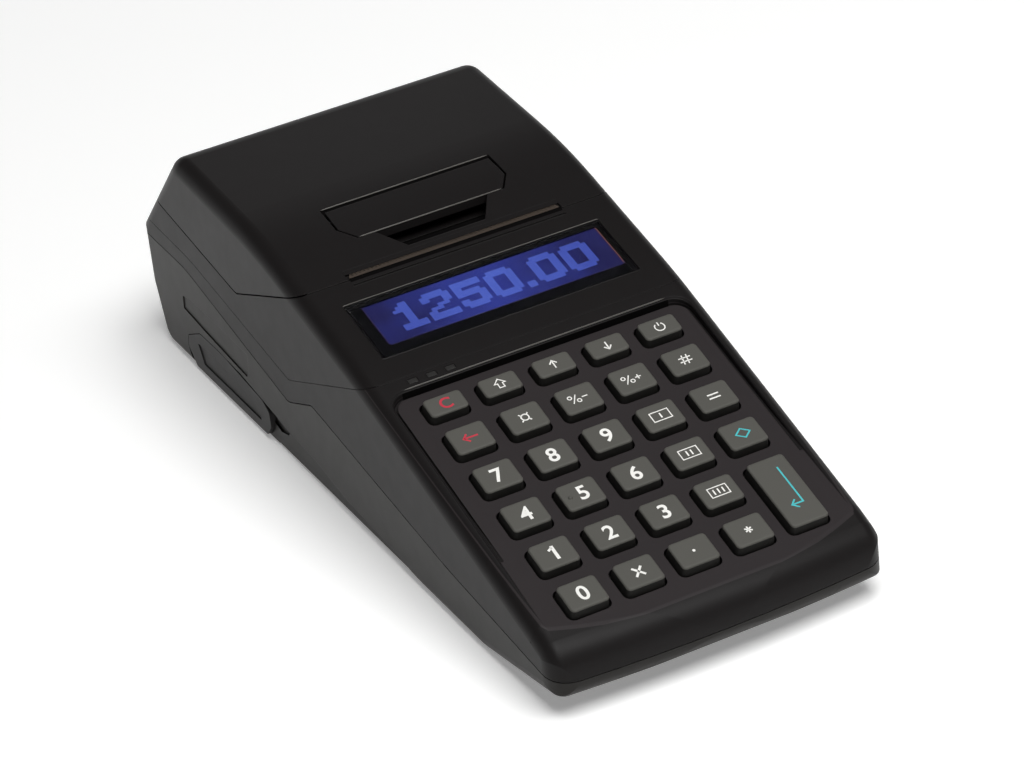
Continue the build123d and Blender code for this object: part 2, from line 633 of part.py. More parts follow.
# seat of the tear bar in the lid's front edge
blade = Plane(origin=(0, LID_FRONT_Y, top_z(LID_FRONT_Y)), x_dir=(1, 0, 0), z_dir=display.z_dir)
lid -= on(blade, -TEAR_HALF - 0.6, TEAR_HALF + 0.6, -5, TEAR_DEEP + 0.8, -TEAR_T, 5)
parts["paper_lid"] = lid
parts["lid_hinge_pin"] = rod_x(HINGE_PIN_R, HINGE_SPANS[0] + 1.2, HINGE_SPANS[5] - 1.2, HINGE_Y, HINGE_Z)

teeth = int(2 * TEAR_HALF / TEAR_PITCH)
saw = [(-TEAR_HALF, TEAR_DEEP + 0.6)]
for i in range(teeth):
    x = -TEAR_HALF + i * TEAR_PITCH
    saw += [(x, 0.6 + TEAR_TOOTH), (x + TEAR_PITCH / 2, 0.6)]
saw += [(-TEAR_HALF + teeth * TEAR_PITCH, 0.6 + TEAR_TOOTH), (TEAR_HALF, TEAR_DEEP + 0.6)]
saw_face = make_face(Polyline(*saw, close=True))
parts["tear_bar"] = blade * (Pos(0, 0, -TEAR_T) * extrude(saw_face, TEAR_T))

# ----------------------------------------------------- platen and its drive
SHAFT_END = GEAR_IN + GEAR_T
BUSH_OUT = PLATE_IN + PLATE_T + 0.2
parts["platen_shaft"] = rod_x(SHAFT_R, -BUSH_OUT - 0.6, SHAFT_END + 0.4, PLATEN_Y, PLATEN_Z)
parts["platen_roller"] = rod_x(ROLLER_R, -ROLLER_HALF, ROLLER_HALF, PLATEN_Y, PLATEN_Z) - \
    rod_x(SHAFT_R, -HALF, HALF, PLATEN_Y, PLATEN_Z)
parts["platen_gear"] = gear(PLATEN_TEETH, IDLER_ANGLE, PLATEN_Y, PLATEN_Z, GEAR_IN, GEAR_IN + GEAR_T) - \
    rod_x(SHAFT_R, 0, HALF, PLATEN_Y, PLATEN_Z)
bush = rod_x(BUSH_R, EAR_IN, BUSH_OUT, PLATEN_Y, PLATEN_Z) - \
    rod_x(SHAFT_R + SHAFT_GAP, 0, HALF, PLATEN_Y, PLATEN_Z)
parts["platen_bushes"] = pair(bush)
parts["idler_gear"] = gear(IDLER_TEETH, idler_turn, IDLER_Y, IDLER_Z, GEAR_IN, GEAR_IN + GEAR_T) - \
    rod_x(STUD_R + SHAFT_GAP, 0, HALF, IDLER_Y, IDLER_Z)
parts["motor_pinion"] = gear(PINION_TEETH, pinion_turn, PINION_Y, PINION_Z, GEAR_IN, GEAR_IN + GEAR_T) - \
    rod_x(MOTOR_SHAFT_R + SHAFT_GAP, 0, HALF, PINION_Y, PINION_Z)

# ----------------------------------------------------------- printer frame
plate = [(FRAME_FRONT, FRAME_Z), (FRAME_REAR, FRAME_Z), (FRAME_REAR, PLATEN_Z - 3),
         (PLATEN_Y + 6.5, PLATEN_Z + 4), (PLATEN_Y - 6.5, PLATEN_Z + 4), (PLATEN_Y - 9.5, PLATEN_Z - 6),
         (FRAME_FRONT, PLATEN_Z - 8)]
NOTCH = BUSH_R + 0.05
sides = pair(prism(plate, PLATE_IN, PLATE_IN + PLATE_T))
notch = rod_x(NOTCH, -40, 40, PLATEN_Y, PLATEN_Z)
notch += prism([(PLATEN_Y - NOTCH, PLATEN_Z), (PLATEN_Y + NOTCH, PLATEN_Z),
                (PLATEN_Y + NOTCH + 1.5, PLATEN_Z + 8), (PLATEN_Y - NOTCH - 0.3, PLATEN_Z + 8)], -40, 40)
plate_out = PLATE_IN + PLATE_T
frame = sides + block(-plate_out, plate_out, FRAME_FRONT, FRAME_REAR, FRAME_Z, FRAME_Z + FRAME_T)
HEAD_Y = PLATEN_Y - ROLLER_R - HEAD_GAP       # face towards the roller
BAR_Y = HEAD_Y - HEAD_T - 2.2                 # rear face of the cross bar
frame += block(-PLATE_IN, PLATE_IN, BAR_Y - 1.2, BAR_Y, PLATEN_Z - 8.8, PLATEN_Z - 2)
frame += prism([(FRAME_REAR - 1.5, FRAME_Z), (FRAME_REAR, FRAME_Z), (FRAME_REAR, PLATEN_Z - 5),
                (FRAME_REAR - 1.5, PLATEN_Z - 4)], -PLATE_IN, PLATE_IN)
frame -= notch & (block(-40, -PLATE_IN + 0.5, 0, 60, 30, 70) + block(PLATE_IN - 0.5, 40, 0, 60, 30, 70))
stud = rod_x(STUD_R, PLATE_IN + PLATE_T, GEAR_IN + GEAR_T + 0.3, IDLER_Y, IDLER_Z)
frame += stud
frame -= rod_x(MOTOR_SHAFT_R + 1.6, PLATE_IN - 1, PLATE_IN + PLATE_T + 1, PINION_Y, PINION_Z)
parts["printer_frame"] = frame
motor = rod_x(MOTOR_R, PLATE_IN - MOTOR_LEN, PLATE_IN, PINION_Y, PINION_Z)
motor += rod_x(MOTOR_SHAFT_R + 1.5, PLATE_IN - 1, PLATE_IN + PLATE_T, PINION_Y, PINION_Z)
motor += rod_x(MOTOR_SHAFT_R, PLATE_IN, GEAR_IN + GEAR_T + 0.3, PINION_Y, PINION_Z)
parts["stepper_motor"] = motor
HEAD_HALF = ROLLER_HALF + 0.3
head = block(-HEAD_HALF, HEAD_HALF, HEAD_Y - HEAD_T, HEAD_Y, PLATEN_Z - 9, PLATEN_Z + 3.2)
head = chamfer(head.edges().filter_by(Axis.X).sort_by(Axis.Z)[-1], 0.9)
parts["print_head"] = head
parts["head_spring"] = block(-14, 14, BAR_Y, BAR_Y + 0.3, PLATEN_Z - 8, PLATEN_Z - 4) + \
    prism([(BAR_Y, PLATEN_Z - 4.3), (BAR_Y + 0.3, PLATEN_Z - 4.3), (HEAD_Y - HEAD_T, PLATEN_Z - 1.4),
           (HEAD_Y - HEAD_T, PLATEN_Z - 1.0)], -12, 12)

# --------------------------------------------------------------- paper bay
BAY_OUT = BAY_HALF + BAY_T
bay_inside = HALF - WALL - 0.1
flange = block(-bay_inside, bay_inside, BAY_Y - BAY_R - BAY_T - 2.0, BAY_Y + BAY_R + BAY_T + 10.0,
               BAY_FLANGE_Z - BAY_FLANGE_T, BAY_FLANGE_Z)
bay = rod_x(BAY_R + BAY_T, -BAY_OUT, BAY_OUT, BAY_Y, BAY_Z) & block(-60, 60, 0, 120, 0, BAY_FLANGE_Z)
bay += flange
bay -= rod_x(BAY_R, -BAY_HALF, BAY_HALF, BAY_Y, BAY_Z)
bay -= pair(rod_z(BOSS_R + 0.4, SCREW_X, SCREW_Y[1], 0, 90))
parts["paper_bay"] = bay

# ------------------------------------------------------------- lid's lever
lever_out = both_sides([(LEVER_REAR[0] - LEVER_GAP - 0.4, LEVER_REAR[1] - LEVER_REAR_GAP),
                        (LEVER_SIDE[0] - LEVER_GAP - 0.2, LEVER_SIDE[1]),
                        (LEVER_FRONT[0] - LEVER_GAP, LEVER_FRONT[1] + LEVER_GAP)])
lever = (column(lever_out, 0, ABOVE) & outer) - Pos(0, 0, -LEVER_T) * raw
barrel = rod_x(LEVER_BARREL_R, -LEVER_REAR[0] + 1.4, LEVER_REAR[0] - 1.4, LEVER_PIN_Y, LEVER_PIN_Z)
lever += barrel
spring_room = rod_x(LEVER_BARREL_R + 0.6, -SPRING_ROOM, SPRING_ROOM, LEVER_PIN_Y, LEVER_PIN_Z)
lever -= spring_room & block(-HALF, HALF, 0, 60, 0, LEVER_PIN_Z + 0.75)
lever -= rod_x(LEVER_PIN_R + 0.05, -30, 30, LEVER_PIN_Y, LEVER_PIN_Z)
COIL_R = LEVER_PIN_R + COIL_T
lever -= rod_x(COIL_R + 0.1, -SPRING_ROOM, SPRING_ROOM, LEVER_PIN_Y, LEVER_PIN_Z)
parts["lid_lever"] = lever
pin_half = LEVER_REAR[0] + WELL_T
parts["lever_pin"] = rod_x(LEVER_PIN_R, -pin_half, pin_half, LEVER_PIN_Y, LEVER_PIN_Z)

# ------------------------------------------------------------- electronics
board = on(deck, -BOARD_HALF, BOARD_HALF, BOARD_FRONT, BOARD_REAR, BOARD_BOTTOM, MAT_BOTTOM)
board -= pair(rod_z(BOSS_R + 0.5, SCREW_X, SCREW_Y[0], 0, 90))
parts["main_board"] = board
mat = on(deck, -MAT_HALF, MAT_HALF, MAT_FRONT, MAT_REAR, MAT_BOTTOM, MAT_TOP)
for name, x, y, w, d in KEYS:
    mat += on(deck, x - DOME_R, x + DOME_R, y - DOME_R, y + DOME_R, MAT_TOP, DOME_TOP)
mat -= pair(rod_z(BOSS_R + 0.5, SCREW_X, SCREW_Y[0], 0, 90))
parts["keypad_mat"] = mat
parts["led_light_pipes"] = led_pipes

pane = on(display, -POCKET_HALF + PANE_GAP, POCKET_HALF - PANE_GAP, -POCKET_LEN / 2 + PANE_GAP,
          POCKET_LEN / 2 - PANE_GAP, -PANE_T - PANE_RECESS, -PANE_RECESS)
parts["display_window"] = pane
lcd_in = LEDGE + PANE_GAP
lcd = on(display, -POCKET_HALF + lcd_in, POCKET_HALF - lcd_in, -POCKET_LEN / 2 + lcd_in,
         POCKET_LEN / 2 - lcd_in, -LEDGE_DEPTH - 1, -LCD_FACE_DEPTH)
lcd += on(display, -POCKET_HALF - LCD_FLANGE + 1, POCKET_HALF + LCD_FLANGE - 1, -POCKET_LEN / 2 - 1.2,
          POCKET_LEN / 2 + 1.2, -LCD_T, -LEDGE_DEPTH)
parts["lcd_module"] = lcd

for name, x, y, w, d in KEYS:
    parts[name] = deck * Pos(x, y, 0) * make_key(w, d)

# ---------------------------------------------------------- lower housing
TUB = [(-62.0, -1.0), (-29.25, 4.0), (-4.55, 5.4), (11.45, 8.2), (31.15, 9.9), (43.2, 11.6),
       (56.0, 13.2), (71.0, 13.8), (80.5, 13.6), (88.9, 9.5), (90.3, 5.7), (87.0, -1.0)]
FLAP = [(88.9, 9.3), (80.5, 13.4), (67.0, 13.6), (43.2, 11.3), (39.6, 9.0), (39.6, 5.0),
        (42.5, 1.5), (86.0, 1.3), (FLAP_AXIS_Y, 5.7)]
FLAP_R = [1.5, 1.2, 6, 3, 1.2, 1.2, 1.2, 1.2, 1.0]


def tub_prism(grow, x0, x1):
    face = Plane.YZ * make_face(Polyline(*TUB, close=True))
    if grow:
        face = offset(face, amount=grow, kind=Kind.INTERSECTION)
    return Pos((x0 + x1) / 2, 0, 0) * extrude(face, (x1 - x0) / 2, both=True)


lower = shell_low - upper_space(LOW_GAP / 2)
liner_in = HALF - TUB_INSET - WALL
lower += pair(tub_prism(1.2, liner_in, HALF - 0.5) & outer_low)
# the port box behind the flap
PORT_Y0, PORT_Y1, PORT_Z1 = 38.0, 91.5, 15.2
lower += block(-HALF + 1.0, -HALF + PORT_DEEP + 1.5, PORT_Y0, PORT_Y1, BASE_Z, PORT_Z1)
# posts and ribs that carry the printer and the bay
for x in (-26.0, 26.0):
    for y in (FRAME_FRONT + 4.5, FRAME_REAR - 4.0):
        lower += rod_z(3.0, x, y, BASE_Z + 1, FRAME_Z)
RIB_Z = BAY_Z - BAY_R - BAY_T
lower += pair(block(17.0, 18.6, BAY_Y - 6, BAY_Y + 6, BASE_Z + 1, RIB_Z + 1.2) -
              rod_x(BAY_R + BAY_T, 0, 60, BAY_Y, BAY_Z))
# battery compartment
BOX_Y0, BOX_Y1 = BATTERY_Y - 2 * CELL_R - 0.4, BATTERY_Y + 2 * CELL_R + 0.4
box_half = BATTERY_HALF + 0.4
compartment = block(-box_half - 1.4, box_half + 1.4, BOX_Y0 - 1.2, BOX_Y1 + 1.2, BASE_Z + 1, 16.5)
compartment -= block(-box_half, box_half, BOX_Y0, BOX_Y1, 0, 30)
lower += compartment
lower += pair(rod_z(BOSS_R, SCREW_X, SCREW_Y[0], BASE_Z + 0.5, front_boss_z - CLEAR))
lower += pair(rod_z(BOSS_R, SCREW_X, SCREW_Y[1], BASE_Z + 0.5, rear_boss_z - CLEAR))
for y in SCREW_Y:
    lower -= pair(rod_z(SCREW_R + 0.05, SCREW_X, y, 0, ABOVE))
    lower -= pair(rod_z(SCREW_HEAD_R + 0.1, SCREW_X, y, -1, SEAT_Z))
for y in FOOT_Y:
    lower -= pair(rod_z(FOOT_R + 0.05, FOOT_X, y, -1, BASE_Z + FOOT_SEAT))
lower -= pair(tub_prism(0, HALF - TUB_INSET, HALF + 5))
# flap's seat and the opening behind it
flap_face = yz(FLAP, FLAP_R)
seat = offset(flap_face, amount=FLAP_GAP, kind=Kind.ARC)
seat_half = (FLAP_T + 1.1) / 2
lower -= Pos(-HALF - 1 + seat_half, 0, 0) * extrude(seat, seat_half, both=True)
PORT_BOX = (44.5, 85.5, 3.2, 10.9)
lower -= block(-HALF - 1, -HALF + PORT_DEEP, *PORT_BOX)
# finger gap in front of the flap
FINGER_NICK = [(42, 10.6), (37.3, 10.6), (28.5, 9.3), (31.1, 6.3), (35.5, 5.3), (42, 7.1)]
lower -= prism(FINGER_NICK, -HALF - FLAP_T - 0.1, -HALF + FLAP_T + 0.1)
# shallow strip above the ports
STRIP = [(88.7, 21.1), (89.4, 17.2), (73.5, 15.8), (51.3, 14.3), (49.6, 16.0), (49.0, 21.8),
         (65.2, 22.2), (84.0, 22.0)]
lower -= prism(STRIP, -HALF - 1, -HALF + STRIP_D)

# the battery cover takes the nose's underside out of the housing
cover_zone = block(-COVER_HALF, COVER_HALF, FRONT_Y - 5, COVER_REAR, -5, COVER_TOP_Z)
cut_half = COVER_HALF + COVER_GAP
cover_cut = block(-cut_half, cut_half, FRONT_Y - 5, COVER_REAR + COVER_GAP, -5, COVER_TOP_Z + COVER_GAP)
inner_floor = BASE_Z + WALL
battery_cover = (outer_low - hollow) & cover_zone
tongue = block(COVER_HALF - 4.0, COVER_HALF + TONGUE, BOX_Y0 + 6, COVER_REAR - 1.5,
               inner_floor, inner_floor + TONGUE_T)
battery_cover += pair(tongue)
battery_cover -= pair(block(COVER_HALF, COVER_HALF + 5, -FAR, 0, -5, inner_floor + COVER_GAP))
room_z = inner_floor + TONGUE_T + 0.3
lower -= cover_cut - block(-COVER_HALF - 3, COVER_HALF + 3, BOX_Y0 - 14, COVER_REAR + 3, room_z, ABOVE)
# room for the tongues over the whole slide
lower -= pair(block(COVER_HALF - 5, COVER_HALF + TONGUE + 0.3, BOX_Y0 - 8, COVER_REAR - 1.2,
                    inner_floor, room_z))
parts["battery_cover"] = battery_cover
parts["lower_housing"] = lower

cell_z = BATTERY_Z + CELL_R
cell_y = CELL_R - 0.1         # the two cells touch in their sleeve
parts["battery_pack"] = rod_x(CELL_R, -BATTERY_HALF, BATTERY_HALF, BATTERY_Y - cell_y, cell_z) + \
    rod_x(CELL_R, -BATTERY_HALF, BATTERY_HALF, BATTERY_Y + cell_y, cell_z)

parts["rubber_feet"] = pair(rod_z(FOOT_R, FOOT_X, FOOT_Y[0], 0, BASE_Z + FOOT_SEAT) +
                            rod_z(FOOT_R, FOOT_X, FOOT_Y[1], 0, BASE_Z + FOOT_SEAT))
screws = None
for y, z in ((SCREW_Y[0], FRONT_SCREW_TOP), (SCREW_Y[1], REAR_SCREW_TOP)):
    screw = rod_z(SCREW_R, SCREW_X, y, SEAT_Z - 0.2, z) + \
        rod_z(SCREW_HEAD_R, SCREW_X, y, SEAT_Z - SCREW_HEAD_T, SEAT_Z)
    screws = screw if screws is None else screws + screw
parts["housing_screws"] = pair(screws)

# ------------------------------------------------------------------- ports
flap = Pos(-HALF + FLAP_T / 2, 0, 0) * extrude(flap_face, FLAP_T / 2, both=True)
panel = [(83.0, 9.4), (80.5, 4.2), (45.6, 4.2), (46.0, 7.6), (57.1, 9.2), (75.3, 10.2)]
flap -= prism(panel, -HALF - 1, -HALF + PANEL_D)
parts["port_flap"] = flap
face_x = -HALF + PORT_FACE
box_y0, box_y1, box_z0, box_z1 = PORT_BOX
ports = block(face_x, -HALF + PORT_DEEP, box_y0 + 0.2, box_y1 - 0.2, box_z0, box_z1 - 0.2)
jack_z = (box_z0 + box_z1) / 2
for y in JACK_Y:
    ports -= block(face_x - 1, face_x + JACK_DEEP, y - JACK_W / 2, y + JACK_W / 2,
                   jack_z - JACK_H / 2, jack_z + JACK_H / 2)
socket_x = face_x + SOCKET_DEEP
ports -= block(face_x - 1, socket_x, SOCKET_Y - 4.0, SOCKET_Y + 4.0, jack_z - 1.6, jack_z + 1.6) - \
    block(face_x, socket_x, SOCKET_Y - 2.8, SOCKET_Y + 2.8, jack_z - 0.6, jack_z + 0.4)
parts["port_connectors"] = ports

# ------------------------------------------------------------ lever spring
coil_x0 = -1.7
coil_x1 = coil_x0 + (COIL_TURNS - 1) * COIL_PITCH + COIL_W
coil = rod_x(COIL_R - 0.25, coil_x0, coil_x1, LEVER_PIN_Y, LEVER_PIN_Z)
for i in range(COIL_TURNS):
    turn_x = coil_x0 + i * COIL_PITCH
    coil += rod_x(COIL_R, turn_x, turn_x + COIL_W, LEVER_PIN_Y, LEVER_PIN_Z)
coil -= rod_x(LEVER_PIN_R + 0.05, -30, 30, LEVER_PIN_Y, LEVER_PIN_Z)
leg_y = LEVER_PIN_Y - LEVER_BARREL_R + 0.2
coil += block(coil_x0, coil_x0 + COIL_W, leg_y, leg_y + 0.6, top_z(leg_y + 0.6) - LEVER_WELL, LEVER_PIN_Z)
parts["lever_spring"] = coil

# ------------------------------------------------------------------ export
for name, shape in parts.items():
    export_step(shape, f"parts/{name}.step")
print(len(parts), "nodes, pocket floor at z", POCKET_Z)
for label, y, z in (("platen", PLATEN_Y, PLATEN_Z), ("idler", IDLER_Y, IDLER_Z), ("pinion", PINION_Y, PINION_Z),
                    ("hinge", HINGE_Y, HINGE_Z), ("lever pin", LEVER_PIN_Y, LEVER_PIN_Z)):
    print(label, "axis at", y, z)
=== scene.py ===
"""Looks of a portable ticket register: finishes, key caps, legends, display and studio.

Every dataclass size is in millimetres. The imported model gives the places, so a key
cap or a display piece is worked out from the node that it belongs to.
"""
from __future__ import annotations

import logging
import math
from dataclasses import dataclass, field
from enum import Enum
from functools import partial
from typing import Callable, Iterable, Sequence

import bmesh
import bpy
from mathutils import Matrix, Vector

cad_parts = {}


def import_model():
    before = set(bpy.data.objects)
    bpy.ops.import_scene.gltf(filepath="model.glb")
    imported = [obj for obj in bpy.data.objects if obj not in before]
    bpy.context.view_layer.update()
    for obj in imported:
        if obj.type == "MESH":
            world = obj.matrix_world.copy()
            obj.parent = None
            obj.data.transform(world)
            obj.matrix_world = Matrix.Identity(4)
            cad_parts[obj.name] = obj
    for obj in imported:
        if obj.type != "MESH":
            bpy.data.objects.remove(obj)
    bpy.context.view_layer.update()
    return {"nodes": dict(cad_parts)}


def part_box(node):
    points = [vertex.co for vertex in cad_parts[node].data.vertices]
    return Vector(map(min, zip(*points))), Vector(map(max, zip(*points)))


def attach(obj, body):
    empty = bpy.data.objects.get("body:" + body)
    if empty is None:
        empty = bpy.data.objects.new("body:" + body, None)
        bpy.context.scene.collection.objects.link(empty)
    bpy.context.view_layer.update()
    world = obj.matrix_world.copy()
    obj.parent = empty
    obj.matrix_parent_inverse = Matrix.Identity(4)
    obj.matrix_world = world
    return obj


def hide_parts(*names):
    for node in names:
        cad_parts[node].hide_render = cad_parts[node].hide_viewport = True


MM = 0.001
LOG = logging.getLogger("ticket_register")
CAPITAL_SHARE = 0.72  # height of a numeral as a share of the font's size
MITRE_LIMIT = 0.5  # keeps the corner of a stroke from running out far

Tree = bpy.types.NodeTree
Socket = bpy.types.NodeSocket
Nodes = dict[str, bpy.types.Object]
BMesh = bmesh.types.BMesh
Ring = list[bmesh.types.BMVert]
Colour = tuple[float, float, float, float]
Point = tuple[float, float]
Loop = list[Vector]


def linear(hex_colour: str) -> Colour:
    """Turns an sRGB hex value into Blender's linear colour.

    Args:
        hex_colour: six hex digits, without a leading sign.

    Returns:
        The linear red, green and blue, with an alpha of one.
    """
    channels = [int(hex_colour[i:i + 2], 16) / 255 for i in (0, 2, 4)]
    red, green, blue = (c / 12.92 if c <= 0.04045 else ((c + 0.055) / 1.055) ** 2.4 for c in channels)
    return red, green, blue, 1.0


def shade(colour: Colour, factor: float) -> Colour:
    """The colour made lighter or darker by a factor."""
    return colour[0] * factor, colour[1] * factor, colour[2] * factor, 1.0


def add_node(tree: Tree, kind: str, inputs: dict | None = None, **settings: object) -> bpy.types.Node:
    """Adds a node with its settings and fills or links its inputs.

    Args:
        tree: the node tree that the node goes into.
        kind: the node's Blender type.
        inputs: a value, or another node's output socket, for each input.
        settings: properties of the node itself.

    Returns:
        The new node.
    """
    node = tree.nodes.new(kind)
    for name, value in settings.items():
        setattr(node, name, value)
    for key, value in (inputs or {}).items():
        if isinstance(value, Socket):
            tree.links.new(value, node.inputs[key])
        else:
            node.inputs[key].default_value = value
    return node


def new_material(name: str) -> tuple[bpy.types.Material, Tree]:
    """Makes a node material that has no nodes yet.

    Args:
        name: the material's name.

    Returns:
        The material and its empty node tree.
    """
    material = bpy.data.materials.new(name)
    material.use_nodes = True
    material.node_tree.nodes.clear()
    return material, material.node_tree


def close_material(tree: Tree, shader: Socket) -> None:
    """Links a shader to the material's output."""
    add_node(tree, "ShaderNodeOutputMaterial", {"Surface": shader})


def link_object(name: str, data: bpy.types.ID) -> bpy.types.Object:
    """Puts a mesh, curve, lamp or camera into the scene.

    Args:
        name: the object's name.
        data: what the object shows.

    Returns:
        The new object.
    """
    thing = bpy.data.objects.new(name, data)
    bpy.context.scene.collection.objects.link(thing)
    return thing


# ---------------------------------------------------------------- finishes
@dataclass(frozen=True)
class Surface:
    """A substance and how its surface was made; each kind draws its own shader.

    Attributes:
        name: the substance and its process.
    """

    name: str

    def shader(self, tree: Tree, place: Socket) -> Socket:
        """The surface's shader, which each kind gives."""
        raise NotImplementedError

    def material(self) -> bpy.types.Material:
        """Builds the material once and returns it from then on.

        Returns:
            The material.
        """
        known = bpy.data.materials.get(self.name)
        if known:
            return known
        material, tree = new_material(self.name)
        place = add_node(tree, "ShaderNodeTexCoord").outputs["Object"]
        close_material(tree, self.shader(tree, place))
        return material


@dataclass(frozen=True)
class Moulded(Surface):
    """An injection-moulded or pressed material with a fine even grain.

    Attributes:
        colour: sRGB hex.
        roughness: mean roughness.
        grain_mm: spacing of the surface grain.
        grain_depth_mm: height of that grain.
        variation: share by which the colour drifts.
        edge_mm: radius that the light sees on an edge.
        metallic: one for a metal.
        ior: refractive index of a plastic or rubber.
        specular: how strongly the surface mirrors, where a half is plain plastic.
        zone_colour: sRGB hex inside the zone, or nothing where there is no zone.
        zone: the zone's tilt in degrees, then y, z and half thickness of its layer.
        drift_mm: length over which the colour drifts.
        patch_mm: width of the patches that handling has made glossier or duller.
        patch_swing: how far their roughness lies from the mean.
    """

    colour: str
    roughness: float = 0.45
    grain_mm: float = 0.35
    grain_depth_mm: float = 0.006
    variation: float = 0.05
    edge_mm: float = 0.15
    metallic: float = 0.0
    ior: float = 1.5
    specular: float = 0.5
    zone_colour: str = ""
    zone: tuple[float, float, float, float] = (0.0, 0.0, 0.0, 0.0)
    drift_mm: float = 28.0
    patch_mm: float = 5.0
    patch_swing: float = 0.035

    def in_zone(self, tree: Tree, place: Socket) -> Socket:
        """Finds the zone's thin tilted layer.

        Args:
            tree: the node tree.
            place: the surface's place.

        Returns:
            One inside the layer and zero elsewhere.
        """
        tilt, y, z, half = self.zone
        normal = Vector((0, -math.sin(math.radians(tilt)), math.cos(math.radians(tilt))))
        height = add_node(tree, "ShaderNodeVectorMath", {0: place, 1: normal}, operation="DOT_PRODUCT")
        level = normal.dot(Vector((0, y * MM, z * MM)))
        return add_node(tree, "ShaderNodeMath", {
            0: height.outputs["Value"], 1: level, 2: half * MM}, operation="COMPARE").outputs[0]

    def shader(self, tree: Tree, place: Socket) -> Socket:
        """Draws the drifting colour, the handled patches and the grain.

        Args:
            tree: the node tree.
            place: the surface's place.

        Returns:
            The shader.
        """
        drift = add_node(tree, "ShaderNodeTexNoise", {
            "Vector": place, "Scale": 1 / (self.drift_mm * MM), "Detail": 2.0})
        base = linear(self.colour)
        colour = add_node(tree, "ShaderNodeMix", {
            "Factor": drift.outputs["Fac"],
            "A": shade(base, 1 - self.variation),
            "B": shade(base, 1 + self.variation),
        }, data_type="RGBA")
        if self.zone_colour:
            colour = add_node(tree, "ShaderNodeMix", {
                "Factor": self.in_zone(tree, place),
                "A": colour.outputs[2],
                "B": linear(self.zone_colour),
            }, data_type="RGBA")
        patches = add_node(tree, "ShaderNodeTexNoise", {
            "Vector": place, "Scale": 1 / (self.patch_mm * MM), "Detail": 3.0})
        rough = add_node(tree, "ShaderNodeMapRange", {
            "Value": patches.outputs["Fac"],
            "To Min": self.roughness - self.patch_swing,
            "To Max": self.roughness + self.patch_swing,
        })
        grain = add_node(tree, "ShaderNodeTexNoise", {
            "Vector": place, "Scale": 1 / (self.grain_mm * MM), "Detail": 1.0})
        edge = add_node(tree, "ShaderNodeBevel", {"Radius": self.edge_mm * MM}, samples=6)
        bump = add_node(tree, "ShaderNodeBump", {
            "Height": grain.outputs["Fac"],
            "Distance": self.grain_depth_mm * MM,
            "Strength": 1.0,
            "Normal": edge.outputs["Normal"],
        })
        return add_node(tree, "ShaderNodeBsdfPrincipled", {
            "Base Color": colour.outputs[2],
            "Roughness": rough.outputs["Result"],
            "Metallic": self.metallic,
            "IOR": self.ior,
            "Specular IOR Level": self.specular,
            "Normal": bump.outputs["Normal"],
        }).outputs["BSDF"]


@dataclass(frozen=True)
class Brushed(Surface):
    """A metal drawn or ground in one direction, with fine lines along it.

    Attributes:
        colour: sRGB hex of the reflection.
        roughness: mean roughness.
        line_mm: spacing of the lines.
        along: axis that the lines follow, 0, 1 or 2.
        line_depth_mm: depth of the lines.
        stretch: spacing across the lines as a share of that along them.
        rough_swing: how far the roughness falls below and rises above its mean.
        shades: the darkest and the lightest line as shares of the colour.
    """

    colour: str
    roughness: float = 0.3
    line_mm: float = 0.25
    along: int = 0
    line_depth_mm: float = 0.004
    stretch: float = 0.04
    rough_swing: tuple[float, float] = (0.08, 0.1)
    shades: tuple[float, float] = (0.85, 1.1)

    def shader(self, tree: Tree, place: Socket) -> Socket:
        """Draws the lines in colour, roughness and depth.

        Args:
            tree: the node tree.
            place: the surface's place.

        Returns:
            The shader.
        """
        scale = [1.0, 1.0, 1.0]
        scale[self.along] = self.stretch
        drawn = add_node(tree, "ShaderNodeMapping", {"Vector": place, "Scale": scale})
        lines = add_node(tree, "ShaderNodeTexNoise", {
            "Vector": drawn.outputs["Vector"], "Scale": 1 / (self.line_mm * MM), "Detail": 3.0})
        rough = add_node(tree, "ShaderNodeMapRange", {
            "Value": lines.outputs["Fac"],
            "To Min": self.roughness - self.rough_swing[0],
            "To Max": self.roughness + self.rough_swing[1],
        })
        base = linear(self.colour)
        colour = add_node(tree, "ShaderNodeMix", {
            "Factor": lines.outputs["Fac"],
            "A": shade(base, self.shades[0]),
            "B": shade(base, self.shades[1]),
        }, data_type="RGBA")
        bump = add_node(tree, "ShaderNodeBump", {
            "Height": lines.outputs["Fac"], "Distance": self.line_depth_mm * MM, "Strength": 1.0})
        return add_node(tree, "ShaderNodeBsdfPrincipled", {
            "Base Color": colour.outputs[2],
            "Metallic": 1.0,
            "Roughness": rough.outputs["Result"],
            "Normal": bump.outputs["Normal"],
        }).outputs["BSDF"]


